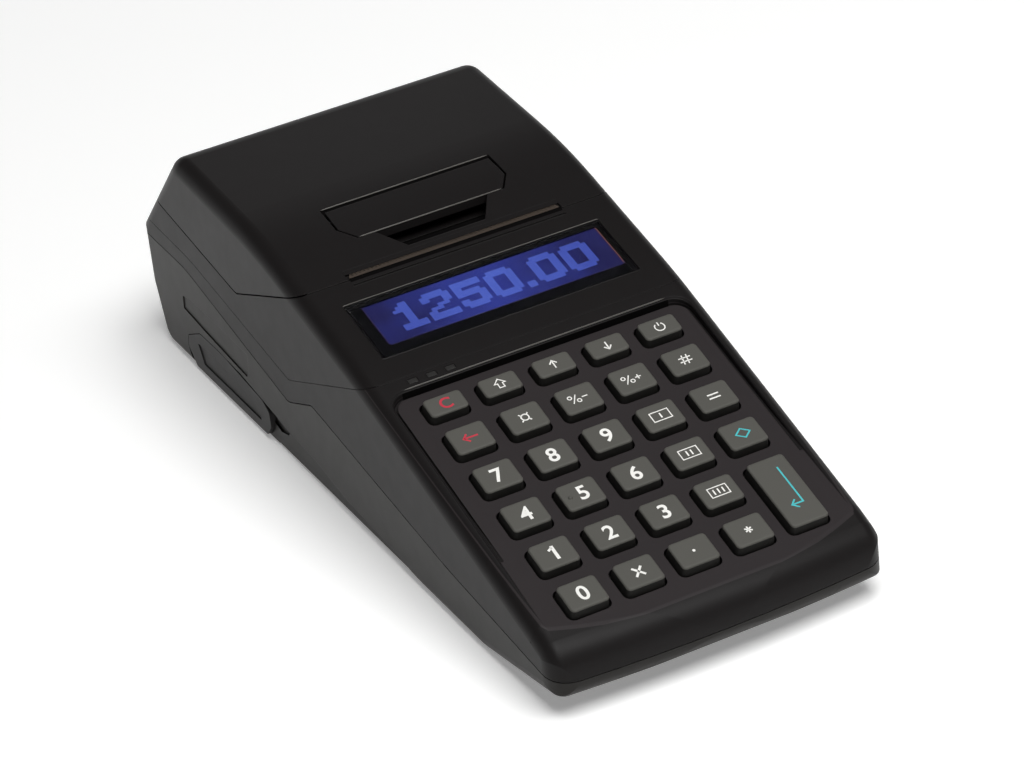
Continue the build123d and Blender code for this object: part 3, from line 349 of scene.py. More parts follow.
@dataclass(frozen=True)
class Glowing(Surface):
    """A lit display surface whose glow is strongest in the middle.

    Attributes:
        middle: sRGB hex in the middle.
        rim: sRGB hex at the ends.
        half_mm: half width over which it falls off.
        strength: emission strength.
        cloud_mm: width of the clouds that blur the falling off.
        fade: share of the way out, with the clouds added, where it begins and ends.
    """

    middle: str
    rim: str
    half_mm: float = 32.0
    strength: float = 1.0
    cloud_mm: float = 9.0
    fade: tuple[float, float] = (0.4, 1.5)

    def shader(self, tree: Tree, place: Socket) -> Socket:
        """Draws the glow, which falls off to both ends.

        Args:
            tree: the node tree.
            place: the surface's place.

        Returns:
            The shader.
        """
        split = add_node(tree, "ShaderNodeSeparateXYZ", {"Vector": place})
        away = add_node(tree, "ShaderNodeMath", {0: split.outputs["X"]}, operation="ABSOLUTE")
        share = add_node(tree, "ShaderNodeMapRange", {
            "Value": away.outputs[0], "From Max": self.half_mm * MM}, interpolation_type="SMOOTHSTEP")
        clouds = add_node(tree, "ShaderNodeTexNoise", {
            "Vector": place, "Scale": 1 / (self.cloud_mm * MM)})
        blurred = add_node(tree, "ShaderNodeMath", {
            0: share.outputs["Result"], 1: clouds.outputs["Fac"]}, operation="ADD")
        fade = add_node(tree, "ShaderNodeMapRange", {
            "Value": blurred.outputs[0], "From Min": self.fade[0], "From Max": self.fade[1]})
        colour = add_node(tree, "ShaderNodeMix", {
            "Factor": fade.outputs["Result"],
            "A": linear(self.middle),
            "B": linear(self.rim),
        }, data_type="RGBA")
        return add_node(tree, "ShaderNodeBsdfPrincipled", {
            "Base Color": linear("0A0A18"),
            "Roughness": 0.35,
            "Emission Color": colour.outputs[2],
            "Emission Strength": self.strength,
        }).outputs["BSDF"]


@dataclass(frozen=True)
class ClearPane(Surface):
    """A clear cast sheet that shows what lies behind it.

    Attributes:
        tint: sRGB hex of the sheet.
        smear_mm: width of the smears that fingers leave.
        roughness: roughness where the sheet is clean and where it is smeared.
        ior: refractive index.
    """

    tint: str
    smear_mm: float = 12.0
    roughness: tuple[float, float] = (0.03, 0.09)
    ior: float = 1.49

    def shader(self, tree: Tree, place: Socket) -> Socket:
        """Draws the sheet with its smears.

        Args:
            tree: the node tree.
            place: the surface's place.

        Returns:
            The shader.
        """
        smears = add_node(tree, "ShaderNodeTexNoise", {
            "Vector": place, "Scale": 1 / (self.smear_mm * MM), "Detail": 4.0})
        rough = add_node(tree, "ShaderNodeMapRange", {
            "Value": smears.outputs["Fac"],
            "To Min": self.roughness[0],
            "To Max": self.roughness[1],
        })
        return add_node(tree, "ShaderNodeBsdfPrincipled", {
            "Base Color": linear(self.tint),
            "Roughness": rough.outputs["Result"],
            "IOR": self.ior,
            "Transmission Weight": 1.0,
        }).outputs["BSDF"]


# satin black resin from a spark-eroded tool: dark until it faces the light
SATIN = {"roughness": 0.42, "specular": 0.12}
INK = {"roughness": 0.5, "grain_depth_mm": 0.001, "variation": 0.02}


class Finish(Enum):
    """Every finish on the register, named by its substance and its process, or by the painted light it
    stands for.
    """

    # housing resin: an even satin black
    HOUSING = Moulded("abs_black_spark_eroded", "1B1919", edge_mm=0.28, **SATIN)
    # small trim from the same tool: the same black with crisper edges
    TRIM = Moulded("abs_black_spark_eroded_trim", "1B1919", edge_mm=0.1, **SATIN)
    # pale lines on rounded edges: a painted highlight where the edges catch the lamp, with a lower roughness
    # that makes them a little glossier
    PAINTED_HIGHLIGHT = Moulded("abs_black_edge_painted_highlight", "5C5A56", roughness=0.36, specular=0.4, edge_mm=0.0)
    # the same resin with a lighter matt texture on the floor of the keypad's recess
    DECK = Moulded("abs_black_spark_eroded_deck", "1B1919", edge_mm=0.28, **SATIN,
                   zone_colour="302C2D", zone=(17.5, -72.808, 29.226, 0.1))
    # that texture alone, without a rounded edge: a dull dark brown-grey
    DECK_FLOOR = Moulded("abs_black_matt_eroded", "302C2D", edge_mm=0.0, **SATIN)
    # same resin, finer tool polish: the lid gleams a little sooner
    LID = Moulded("abs_black_fine_eroded", "1C1A1A", roughness=0.4, grain_mm=0.3, specular=0.12,
                  edge_mm=0.28)
    # near-black sheet in the paper slot, the finger pocket and the groove behind the keys: painted shadow
    # where these recesses fall into shade
    FLOCK = Moulded("black_painted_shadow_sheet", "090808", roughness=0.95, specular=0.05,
                    edge_mm=0.0)
    # lower tub in a slightly warmer batch of the resin: a touch browner than the top
    TUB = Moulded("abs_black_warm_moulded", "22201E", roughness=0.44, specular=0.2, edge_mm=0.22)
    # silicone with a sprayed matt cap: soft grey with no hard glint
    KEY_CAP = Moulded("silicone_rubber_grey_coated", "504F4A", roughness=0.62, grain_mm=0.4, ior=1.41)
    # uncoated silicone skirt: nearly black between the caps
    KEY_SKIRT = Moulded("silicone_rubber_black_moulded", "1B1A18", roughness=0.55, ior=1.41)
    # screen-printed epoxy ink, slightly raised: even flat colour on the caps
    INK_WHITE = Moulded("epoxy_ink_white_printed", "F2F1EC", **INK)
    INK_RED = Moulded("epoxy_ink_red_printed", "BE2A3E", **INK)
    INK_TEAL = Moulded("epoxy_ink_teal_printed", "46BEC3", **INK)
    # black ink on the back of the window: deep gloss seen through the sheet
    WINDOW_INK = Moulded("screen_ink_black_back_printed", "0B0A0B", roughness=0.3, variation=0.02)
    # cast acrylic: clear, with a sharp reflection that smears blur a little
    WINDOW = ClearPane("pmma_clear_cast", "E6E8EC")
    # backlit blue field: brightest in the middle, dusky purple at its ends
    LCD_FIELD = Glowing("liquid_crystal_blue_backlit", "37419C", "222156")
    # open cells: a paler blue than the field
    LCD_PIXELS = Glowing("liquid_crystal_cells_open", "5D74DA", "4E60C4")
    # stray light at the seams of the light guide: thin purple rim, warm right end
    LCD_RIM = Glowing("light_guide_rim_glow", "3B2F55", "33284A")
    LCD_EDGE = Glowing("light_guide_edge_glow", "C98F7C", "B57866", strength=0.55)
    # clouded light pipes, unlit: smoky grey dots
    LIGHT_PIPE = Moulded("polycarbonate_smoked_moulded", "2A2928", roughness=0.3)
    # punched strip: dull brown bronze with fine serrations
    TEAR_BAR = Brushed("phosphor_bronze_punched", "625850", roughness=0.55, line_mm=0.3)
    # ground nitrile sleeve: dull black that shows no highlight
    ROLLER = Moulded("nitrile_rubber_ground", "1C1C1D", roughness=0.72, grain_mm=0.4,
                     grain_depth_mm=0.012)
    # centreless-ground steel: a bright line along the shaft
    STEEL = Brushed("steel_ground_shaft", "B9BABC", roughness=0.24, line_mm=0.3)
    # zinc-plated sheet: pale grey with a broad soft sheen
    FRAME = Brushed("steel_zinc_plated_pressed", "A7ABAE", roughness=0.36, line_mm=0.6, along=1)
    # nickel-plated can: a warmer and brighter grey than the frame
    MOTOR = Brushed("steel_nickel_plated_can", "A8A49C", line_mm=0.5)
    # natural acetal: creamy white, slightly waxy
    GEAR = Moulded("acetal_natural_moulded", "D8D4C6", roughness=0.42, grain_mm=0.5,
                   grain_depth_mm=0.003, ior=1.48)
    # sintered bronze, open-pored: a dull gold
    BUSH = Brushed("bronze_sintered_bush", "9A7A4E", roughness=0.42, line_mm=0.4)
    # glazed alumina: glossy brown strip
    HEAD = Moulded("alumina_ceramic_glazed", "6B5A4A", roughness=0.22, grain_depth_mm=0.002, ior=1.7)
    # moulded trough: a mid grey that tells the bay from the housing
    BAY = Moulded("abs_grey_moulded_bay", "3A3A3B", roughness=0.5)
    # solder mask on glass epoxy: glossy dark green
    BOARD = Moulded("glass_epoxy_green_masked", "1F4A33", roughness=0.4, grain_depth_mm=0.003)
    # moulded silicone sheet: dull grey
    MAT = Moulded("silicone_sheet_moulded", "3F3F3E", roughness=0.6, ior=1.41)
    # moulded rubber: dead black with a coarse grain
    FEET = Moulded("rubber_black_moulded_foot", "1A1A1A", roughness=0.8, grain_mm=0.5,
                   grain_depth_mm=0.02)
    # soft elastomer: a duller black than the tub round it
    FLAP = Moulded("thermoplastic_rubber_flap", "201E1E", roughness=0.6, grain_depth_mm=0.008)
    # glass-filled polyester: plain dark connector bodies
    PORT = Moulded("polyester_black_connector", "191919", roughness=0.4)
    # black zinc on steel: dark heads with a faint gleam
    SCREW = Brushed("steel_black_zinc_screw", "4A4A4C", roughness=0.34, line_mm=0.3, along=2)
    # shrunk sleeve: taut slate-blue skin over the cells
    BATTERY = Moulded("pvc_sleeve_shrunk", "2C3A55", roughness=0.35, grain_depth_mm=0.004)


def dress(node: bpy.types.Object, finish: Finish) -> None:
    """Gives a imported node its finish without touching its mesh.

    Args:
        node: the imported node.
        finish: its finish.
    """
    node.data.materials.clear()
    node.data.materials.append(finish.value.material())
    LOG.info("node %s: %s", node.name, finish.value.name)


def dress_all(nodes: Nodes, finishes: dict[str, Finish]) -> None:
    """Gives each named node its finish."""
    for name, finish in finishes.items():
        dress(nodes[name], finish)


# ------------------------------------------------------------ mesh helpers
def rounded_loop(width: float, depth: float, radius: float, height: float, steps: int = 6) -> Loop:
    """A rounded rectangle's points, anticlockwise, in millimetres.

    Args:
        width: size along x.
        depth: size along y.
        radius: corner radius.
        height: z of the loop.
        steps: segments of each corner.

    Returns:
        The loop's points.
    """
    radius = min(radius, width / 2, depth / 2)
    corners = [(1, 1, 0), (-1, 1, 90), (-1, -1, 180), (1, -1, 270)]
    points = []
    for sx, sy, start in corners:
        cx, cy = sx * (width / 2 - radius), sy * (depth / 2 - radius)
        for i in range(steps + 1):
            angle = math.radians(start + 90 * i / steps)
            points.append(Vector((cx + radius * math.cos(angle), cy + radius * math.sin(angle), height)))
    return points


def add_ring(bm: BMesh, loop: Loop) -> Ring:
    """Adds a loop's points to the mesh."""
    return [bm.verts.new(point) for point in loop]


def bridge(bm: BMesh, lower: Ring, upper: Ring, material: int = 0) -> list[bmesh.types.BMFace]:
    """Joins two closed rings of equal length by a band of faces.

    Args:
        bm: the mesh that grows.
        lower: the first ring.
        upper: the second ring.
        material: material index of the band.

    Returns:
        The band's faces.
    """
    band = []
    for i in range(len(lower)):
        j = (i + 1) % len(lower)
        face = bm.faces.new((lower[i], lower[j], upper[j], upper[i]))
        face.material_index = material
        band.append(face)
    return band


def skin(bm: BMesh, loops: Sequence[Loop], materials: Sequence[int]) -> None:
    """Skins closed loops of equal length and caps both ends.

    Args:
        bm: the mesh that grows.
        loops: the loops from the bottom up.
        materials: material index of each band, then of the top cap.
    """
    rings = [add_ring(bm, loop) for loop in loops]
    for lower, upper, material in zip(rings, rings[1:], materials):
        bridge(bm, lower, upper, material)
    bm.faces.new(list(reversed(rings[0]))).material_index = materials[0]
    bm.faces.new(rings[-1]).material_index = materials[-1]


def at_height(outline: Sequence[Point], z: float) -> Loop:
    """A flat outline's points at one height."""
    return [Vector((x, y, z)) for x, y in outline]


def across(profile: Sequence[Point], x0: float, x1: float) -> list[Loop]:
    """A side profile of y and z as two loops, one at each x."""
    return [[Vector((x, y, z)) for y, z in profile] for x in (x0, x1)]


def shifted(loop: Loop, way: Vector) -> Loop:
    """A loop moved along a vector."""
    return [point + way for point in loop]


def ribbon(bm: BMesh, path: Sequence[Point], width: float, height: float, closed: bool = False) -> None:
    """A flat stroke of even width along a path, with mitred corners.

    Args:
        bm: the mesh that grows.
        path: the middle line's points.
        width: stroke width.
        height: z of the stroke.
        closed: whether the path ends where it began.
    """
    points = [Vector((x, y)) for x, y in path]
    count = len(points)
    sides: list[Ring] = []
    for i, point in enumerate(points):
        arms = []
        if i or closed:
            arms.append((point - points[i - 1]).normalized())
        if i < count - 1 or closed:
            arms.append((points[(i + 1) % count] - point).normalized())
        normals = [Vector((-arm.y, arm.x)) for arm in arms]
        middle = sum(normals, Vector((0.0, 0.0))).normalized()
        reach = width / 2 / max(MITRE_LIMIT, middle.dot(normals[0]))
        left, right = point + middle * reach, point - middle * reach
        sides.append(add_ring(bm, [Vector((side.x, side.y, height)) for side in (left, right)]))
    last = count if closed else count - 1
    for i in range(last):
        a, b = sides[i], sides[(i + 1) % count]
        bm.faces.new((a[1], b[1], b[0], a[0]))


def arc(x: float, y: float, radius: float, start: float, end: float, steps: int = 18) -> list[Point]:
    """Points of an arc between two angles in degrees."""
    angles = [math.radians(start + (end - start) * i / steps) for i in range(steps + 1)]
    return [(x + radius * math.cos(a), y + radius * math.sin(a)) for a in angles]


def circle(x: float, y: float, radius: float, sides: int) -> list[Point]:
    """Points round a circle, without the first one again."""
    return arc(x, y, radius, 0, 360 - 360 / sides, sides - 1)


def spoke(angle: float, start: float, end: float) -> list[Point]:
    """A line away from the middle at an angle in degrees."""
    way = math.radians(angle)
    return [(reach * math.cos(way), reach * math.sin(way)) for reach in (start, end)]


@dataclass
class Plane:
    """A tilted plane of the register: origin in millimetres and tilt about X.

    Attributes:
        origin: the plane's origin in the model's frame.
        tilt: slope towards the rear in degrees.
    """

    origin: Vector
    tilt: float

    def matrix(self) -> Matrix:
        """From the plane's own millimetres to the model's metres."""
        turn = Matrix.Rotation(math.radians(self.tilt), 4, "X")
        return Matrix.Scale(MM, 4) @ Matrix.Translation(self.origin) @ turn

    def local_box(self, node: str) -> tuple[Vector, Vector]:
        """Measures a node in the plane's own frame.

        Args:
            node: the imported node.

        Returns:
            Its lowest and highest corner in millimetres.
        """
        back = self.matrix().inverted()
        points = [back @ v.co for v in bpy.data.objects[node].data.vertices]
        low = Vector(min(p[i] for p in points) for i in range(3))
        high = Vector(max(p[i] for p in points) for i in range(3))
        return low, high


def make_piece(name: str, bm: BMesh, plane: Plane | None, body: str,
               finishes: Iterable[Finish], replaces: Sequence[str] = (), smooth_angle: float = 35.0
               ) -> bpy.types.Object:
    """Turns a finished mesh into a piece that rides on a body.

    Args:
        name: the piece's name.
        bm: its mesh, in the plane's millimetres, which is freed.
        plane: the plane that the mesh was drawn on, or none for the model's metres.
        body: the body that it rides on.
        finishes: its finishes in the order of the material indices.
        replaces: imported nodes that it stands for.
        smooth_angle: edges turned by more than this stay sharp.

    Returns:
        The piece.
    """
    if plane is not None:
        bm.transform(plane.matrix())
    bmesh.ops.recalc_face_normals(bm, faces=bm.faces)
    mesh = bpy.data.meshes.new(name)
    bm.to_mesh(mesh)
    bm.free()
    mesh.shade_smooth()
    mesh.set_sharp_from_angle(angle=math.radians(smooth_angle))
    piece = link_object(name, mesh)
    for finish in finishes:
        mesh.materials.append(finish.value.material())
    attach(piece, body)
    if replaces:
        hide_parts(*replaces)
    LOG.info("piece %s on %s, %d faces", name, body, len(mesh.polygons))
    return piece


def glyph_mesh(text: str, height: float, weight: float) -> bpy.types.Mesh:
    """A printed figure as a flat mesh, centred on the origin.

    Args:
        text: the figure.
        height: height of a numeral.
        weight: how far the stroke is thickened on each side.

    Returns:
        The mesh in millimetres.
    """
    curve = bpy.data.curves.new("figure", "FONT")
    curve.body = text
    curve.size = height / CAPITAL_SHARE
    curve.offset = weight
    curve.resolution_u = 6
    holder = link_object("figure", curve)
    bpy.context.view_layer.update()
    mesh = bpy.data.meshes.new_from_object(holder.evaluated_get(bpy.context.evaluated_depsgraph_get()))
    bpy.data.objects.remove(holder)
    bpy.data.curves.remove(curve)
    xs = [v.co.x for v in mesh.vertices]
    ys = [v.co.y for v in mesh.vertices]
    mesh.transform(Matrix.Translation((-(min(xs) + max(xs)) / 2, -(min(ys) + max(ys)) / 2, 0)))
    return mesh


# ------------------------------------------------------------------ keypad
Draw = Callable[[BMesh, float], None]


def draw_arrow(bm: BMesh, z: float, way: int) -> None:
    """A thin arrow that points to the rear with a way of 1, or to the front with -1."""
    ribbon(bm, [(0, -1.25 * way), (0, 1.1 * way)], 0.36, z)
    ribbon(bm, [(-0.95, 0.25 * way), (0, 1.3 * way), (0.95, 0.25 * way)], 0.36, z)


def draw_hollow_arrow(bm: BMesh, z: float) -> None:
    """The outline of a broad arrow, for a second key function."""
    outline = [(0, 1.5), (1.45, 0.1), (0.65, 0.1), (0.65, -1.3), (-0.65, -1.3), (-0.65, 0.1), (-1.45, 0.1)]
    ribbon(bm, outline, 0.3, z, closed=True)


def draw_power(bm: BMesh, z: float) -> None:
    """An open ring with a bar in its gap."""
    ribbon(bm, arc(0, -0.1, 1.25, 125, 415, 30), 0.32, z)
    ribbon(bm, [(0, 0.3), (0, 1.5)], 0.32, z)


def draw_back_arrow(bm: BMesh, z: float) -> None:
    """A bold arrow to the left, for taking back the last entry."""
    ribbon(bm, [(2.0, 0), (-1.5, 0)], 0.5, z)
    ribbon(bm, [(-0.5, 1.25), (-1.75, 0), (-0.5, -1.25)], 0.5, z)


def draw_percent(bm: BMesh, z: float, plus: bool) -> None:
    """A percent sign followed by a plus or a minus.

    Args:
        bm: the mesh that grows.
        z: height of the ink.
        plus: whether the sign is a plus.
    """
    for x, y in ((-2.15, 0.75), (-0.25, -0.75)):
        ribbon(bm, circle(x, y, 0.5, 20), 0.28, z, closed=True)
    ribbon(bm, [(-2.0, -1.3), (-0.4, 1.3)], 0.28, z)
    ribbon(bm, [(0.75, 0), (2.25, 0)], 0.32, z)
    if plus:
        ribbon(bm, [(1.5, -0.75), (1.5, 0.75)], 0.32, z)


def draw_times(bm: BMesh, z: float) -> None:
    """A multiplication cross."""
    ribbon(bm, [(-1.2, -1.35), (1.2, 1.35)], 0.6, z)
    ribbon(bm, [(-1.2, 1.35), (1.2, -1.35)], 0.6, z)


def draw_one(bm: BMesh, z: float) -> None:
    """The figure one, with a short flag."""
    ribbon(bm, [(0.28, -2.1), (0.28, 2.1)], 0.84, z)
    ribbon(bm, [(-0.95, 0.95), (0.2, 1.62)], 0.62, z)


def draw_point(bm: BMesh, z: float) -> None:
    """A decimal point."""
    bm.faces.new(add_ring(bm, at_height(circle(0, 0, 0.38, 20), z)))


def draw_star(bm: BMesh, z: float) -> None:
    """A six-armed star."""
    for angle in (90, 150, 210):
        ribbon(bm, spoke(angle, -1.0, 1.0), 0.4, z)


def draw_hash(bm: BMesh, z: float) -> None:
    """A number sign, for looking an item up by its number.

    Args:
        bm: the mesh that grows.
        z: height of the ink.
    """
    for side in (-0.6, 0.6):
        ribbon(bm, [(side - 0.25, -1.5), (side + 0.25, 1.5)], 0.34, z)
        ribbon(bm, [(-1.6, side), (1.6, side)], 0.34, z)


def draw_coin(bm: BMesh, z: float) -> None:
    """A ring with four ticks, the sign for any currency.

    Args:
        bm: the mesh that grows.
        z: height of the ink.
    """
    ribbon(bm, circle(0, 0, 0.95, 24), 0.34, z, closed=True)
    for angle in (45, 135, 225, 315):
        ribbon(bm, spoke(angle, 0.95, 1.75), 0.34, z)


def draw_group(bm: BMesh, z: float, number: int) -> None:
    """A framed row of bars that counts a goods group.

    Args:
        bm: the mesh that grows.
        z: height of the ink.
        number: number of bars.
    """
    ribbon(bm, [(-2.4, -1.45), (2.4, -1.45), (2.4, 1.45), (-2.4, 1.45)], 0.28, z, closed=True)
    for i in range(number):
        x = (i - (number - 1) / 2) * 1.2
        ribbon(bm, [(x, -0.8), (x, 0.8)], 0.4, z)


def draw_equals(bm: BMesh, z: float) -> None:
    """An equals sign."""
    for y in (-0.6, 0.6):
        ribbon(bm, [(-1.5, y), (1.5, y)], 0.42, z)


def draw_diamond(bm: BMesh, z: float) -> None:
    """The diamond of a running sum."""
    ribbon(bm, [(0, 1.5), (1.9, 0), (0, -1.5), (-1.9, 0)], 0.38, z, closed=True)


def draw_enter(bm: BMesh, z: float) -> None:
    """A tall arrow that turns to the left, for closing the sale."""
    ribbon(bm, [(1.5, 7.2), (1.5, -4.6), (-1.2, -4.6)], 0.42, z)
    ribbon(bm, [(-0.1, -3.3), (-1.5, -4.6), (-0.1, -5.9)], 0.42, z)


@dataclass(frozen=True)
class Legend:
    """What is printed on a key.

    Attributes:
        ink: the ink.
        text: a figure, where it is one.
        draw: the function that draws a sign, where it is one.
        height: height of a figure.
        weight: how far a figure's stroke is thickened.
    """

    ink: Finish = Finish.INK_WHITE
    text: str = ""
    draw: Draw | None = None
    height: float = 4.2
    weight: float = 0.11


LEGENDS: dict[str, Legend] = {
    "clear": Legend(Finish.INK_RED, "C", height=3.4, weight=0.08),
    "shift": Legend(draw=draw_hollow_arrow),
    "scroll_up": Legend(draw=partial(draw_arrow, way=1)),
    "scroll_down": Legend(draw=partial(draw_arrow, way=-1)),
    "power": Legend(draw=draw_power),
    "void": Legend(Finish.INK_RED, draw=draw_back_arrow),
    "price": Legend(draw=draw_coin),
    "minus_percent": Legend(draw=partial(draw_percent, plus=False)),
    "plus_percent": Legend(draw=partial(draw_percent, plus=True)),
    "lookup": Legend(draw=draw_hash),
    "department_1": Legend(draw=partial(draw_group, number=1)),
    "department_2": Legend(draw=partial(draw_group, number=2)),
    "department_3": Legend(draw=partial(draw_group, number=3)),
    "pay": Legend(draw=draw_equals),
    "subtotal": Legend(Finish.INK_TEAL, draw=draw_diamond),
    "total": Legend(Finish.INK_TEAL, draw=draw_enter),
    "times": Legend(draw=draw_times),
    "point": Legend(draw=draw_point),
    "star": Legend(draw=draw_star),
    "1": Legend(draw=draw_one),
    **{str(n): Legend(text=str(n)) for n in (0, *range(2, 10))},
}


@dataclass
class Keypad:
    """The silicone keys, their printed legends and the deck round them.

    Attributes:
        plane: the plane of the key tops.
        flange: the flange's reach beyond the skirt.
        flange_t: the flange's thickness.
        flange_r: corner radius of the flange.
        taper: growth of each side from the top down to the flange.
        corner_r: corner radius of the cap.
        rim_r: radius of the cap's top edge.
        rim_steps: segments of that edge.
        face_share: corner radius of the cap's flat face as a share of the cap's.
        least_r: least corner radius on that edge.
        ink_lift: height of the ink above the cap.
        nub: x, y, radius and height of the finding nub on the five key.
        nub_sink: how far the nub's middle lies in the cap.
        five_shift: how far the figure five gives way to the nub.
        deck_drop: depth of the deck's face below the cap's.
        opening_gap: gap between a key's skirt and the side of its opening.
        opening_r: radius of an opening's corner.
        opening_steps: segments of that corner.
        corner_t: thickness of the corner pieces that round it.
        corner_lap: how far they lap over the deck, so that no joint shows.
        corner_lift: how far they stand above it.
        moat: inner and outer x of the moat, its depth below the deck, and the y where it ends.
        moat_lap: how far the ramps reach into the moat's sides and floor.
        ramp: length of the ramp on which the moat runs out.
        groove_profile: y and z of the near-black sheet, a painted shadow, in the groove behind the keys.
        groove_half: half length of that sheet.
    """

    plane: Plane = field(default_factory=lambda: Plane(Vector((0, -73.5, 31.42)), 17.5))
    flange: float = 0.8
    flange_t: float = 0.8
    flange_r: float = 0.3
    taper: float = 0.4
    corner_r: float = 1.1
    rim_r: float = 0.5
    rim_steps: int = 4
    face_share: float = 0.7
    least_r: float = 0.2
    ink_lift: float = 0.015
    nub: tuple[float, float, float, float] = (-2.9, -0.3, 0.55, 0.45)
    nub_sink: float = 0.04
    five_shift: float = 0.5
    deck_drop: float = 2.3
    opening_gap: float = 0.35
    opening_r: float = 1.8
    opening_steps: int = 8
    corner_t: float = 1.6
    corner_lap: float = 0.35
    corner_lift: float = 0.01
    moat: tuple[float, float, float, float] = (39.4, 40.3, 0.7, -9.5)
    moat_lap: float = 0.02
    ramp: float = 18.0
    groove_profile: tuple[Point, ...] = (
        (45.9, -3.0), (46.75, -3.0), (47.16, -1.36), (47.1, -1.36), (46.66, -2.94), (45.9, -2.94))
    groove_half: float = 36.2

    def cap(self, bm: BMesh, width: float, depth: float, top: float, bottom: float) -> None:
        """Builds one key from its flange up to a soft-edged cap.

        Args:
            bm: the mesh that grows.
            width: width of the cap's top.
            depth: depth of the cap's top.
            top: height of the cap's face.
            bottom: height of the flange's underside.
        """
        skirt = 2 * self.taper
        reach = skirt + 2 * self.flange
        flange_top = bottom + self.flange_t
        rim_foot = top - self.rim_r
        loops = [
            rounded_loop(width + reach, depth + reach, self.flange_r, bottom),
            rounded_loop(width + reach, depth + reach, self.flange_r, flange_top),
            rounded_loop(width + skirt, depth + skirt, self.corner_r + self.taper, flange_top),
            rounded_loop(width, depth, self.corner_r, rim_foot),
        ]
        for i in range(1, self.rim_steps + 1):
            angle = math.radians(90 * i / self.rim_steps)
            inset = self.rim_r * (1 - math.cos(angle))
            rise = self.rim_r * math.sin(angle)
            corner = max(self.least_r, self.corner_r - inset)
            loops.append(rounded_loop(width - 2 * inset, depth - 2 * inset, corner, rim_foot + rise))
        inner = 3 * self.rim_r
        loops.append(rounded_loop(width - inner, depth - inner, self.corner_r * self.face_share, top))
        skin(bm, loops, [1, 1, 1] + [0] * (len(loops) - 3))

    def add_nub(self, bm: BMesh, x: float, y: float, top: float) -> None:
        """Adds the low finding nub beside the figure five.

        Args:
            bm: the mesh that grows.
            x: the cap's middle along x.
            y: the cap's middle along y.
            top: height of the cap's face.
        """
        dx, dy, radius, height = self.nub
        made = bmesh.ops.create_uvsphere(bm, u_segments=16, v_segments=8, radius=radius)
        squash = Matrix.Diagonal((1, 1, height / radius, 1))
        place = Matrix.Translation((x + dx, y + dy, top - self.nub_sink))
        bmesh.ops.transform(bm, matrix=place @ squash, verts=made["verts"])

    def cap_size(self, node: str) -> tuple[float, float, float, float, float, float]:
        """Measures a key in the plane's frame.

        Args:
            node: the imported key.

        Returns:
            The x and y of its middle, the width and depth of its cap, its top and its underside.
        """
        low, high = self.plane.local_box(node)
        margin = 2 * (self.flange + self.taper)
        return ((low.x + high.x) / 2, (low.y + high.y) / 2,
                high.x - low.x - margin, high.y - low.y - margin, high.z, low.z)

    def corner_outline(self, corner: Point, sx: int, sy: int) -> list[Point]:
        """Draws the piece that rounds one corner of an opening.

        Args:
            corner: the opening's sharp corner.
            sx: 1 for a corner on the right and -1 on the left.
            sy: 1 for a corner at the rear and -1 in front.

        Returns:
            The outline's points.
        """
        cx, cy = corner
        out_x, out_y = cx + sx * self.corner_lap, cy + sy * self.corner_lap
        middle_x, middle_y = cx - sx * self.opening_r, cy - sy * self.opening_r
        curve = [(middle_x + sx * px, middle_y + sy * py)
                 for px, py in arc(0, 0, self.opening_r, 0, 90, self.opening_steps)]
        return [(out_x, curve[0][1]), *curve, (curve[-1][0], out_y), (out_x, out_y)]

    def build_opening_corners(self, keys: Sequence[str]) -> None:
        """Rounds the four corners of each key's opening in the deck.

        Args:
            keys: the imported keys.
        """
        bm = bmesh.new()
        out = self.taper + self.opening_gap
        for node in keys:
            x, y, width, depth, top, _ = self.cap_size(node)
            level = top - self.deck_drop + self.corner_lift
            for sx, sy in ((1, 1), (-1, 1), (-1, -1), (1, -1)):
                corner = (x + sx * (width / 2 + out), y + sy * (depth / 2 + out))
                outline = self.corner_outline(corner, sx, sy)
                skin(bm, [at_height(outline, z) for z in (level - self.corner_t, level)], (1, 0))
        make_piece("deck_opening_corners", bm, self.plane, "base",
                   (Finish.DECK_FLOOR, Finish.HOUSING))

    def build_moat_ramps(self) -> None:
        """Lets the moat on each side of the deck run out on a long ramp."""
        inner, outer, deep, end = self.moat
        level, lap = -self.deck_drop, self.moat_lap
        profile = [(end, level - deep), (end + self.ramp, level - deep - lap), (end, level)]
        bm = bmesh.new()
        for side in (1, -1):
            skin(bm, across(profile, side * (inner - lap), side * (outer + lap)), (0, 0))
        make_piece("moat_ramps", bm, self.plane, "base", (Finish.TRIM,))

    def build_groove(self) -> None:
        """Lays a near-black sheet in the groove behind the keys: painted shadow."""
        bm = bmesh.new()
        skin(bm, across(self.groove_profile, -self.groove_half, self.groove_half), (0, 0))
        # the near-black sheet is a painted shadow
        make_piece("deck_groove_painted_shadow", bm, self.plane, "base", (Finish.FLOCK,))

    def build_key(self, node: str) -> None:
        """Replaces one packed key by its soft cap and prints it.

        Args:
            node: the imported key.
        """
        x, y, width, depth, top, underside = self.cap_size(node)
        bm = bmesh.new()
        self.cap(bm, width, depth, top, underside)
        bm.transform(Matrix.Translation((x, y, 0)))
        name = node.removeprefix("key_")
        if name == "5":
            self.add_nub(bm, x, y, top)
        make_piece("cap_" + name, bm, self.plane, node,
                   (Finish.KEY_CAP, Finish.KEY_SKIRT), (node,), smooth_angle=50)
        shift = self.five_shift if name == "5" else 0.0
        self.print_legend(name, node, Vector((x + shift, y, top + self.ink_lift)))

    def print_legend(self, name: str, node: str, place: Vector) -> None:
        """Prints a key's figure or sign on its cap.

        Args:
            name: the key's name in LEGENDS.
            node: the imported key, which is the body that the print rides on.
            place: the middle of the print.
        """
        legend = LEGENDS[name]
        bm = bmesh.new()
        if legend.text:
            mesh = glyph_mesh(legend.text, legend.height, legend.weight)
            bm.from_mesh(mesh)
            bpy.data.meshes.remove(mesh)
            for face in bm.faces:
                face.material_index = 0
        else:
            legend.draw(bm, 0.0)
        bm.transform(Matrix.Translation(place))
        make_piece("legend_" + name, bm, self.plane, node, (legend.ink,))

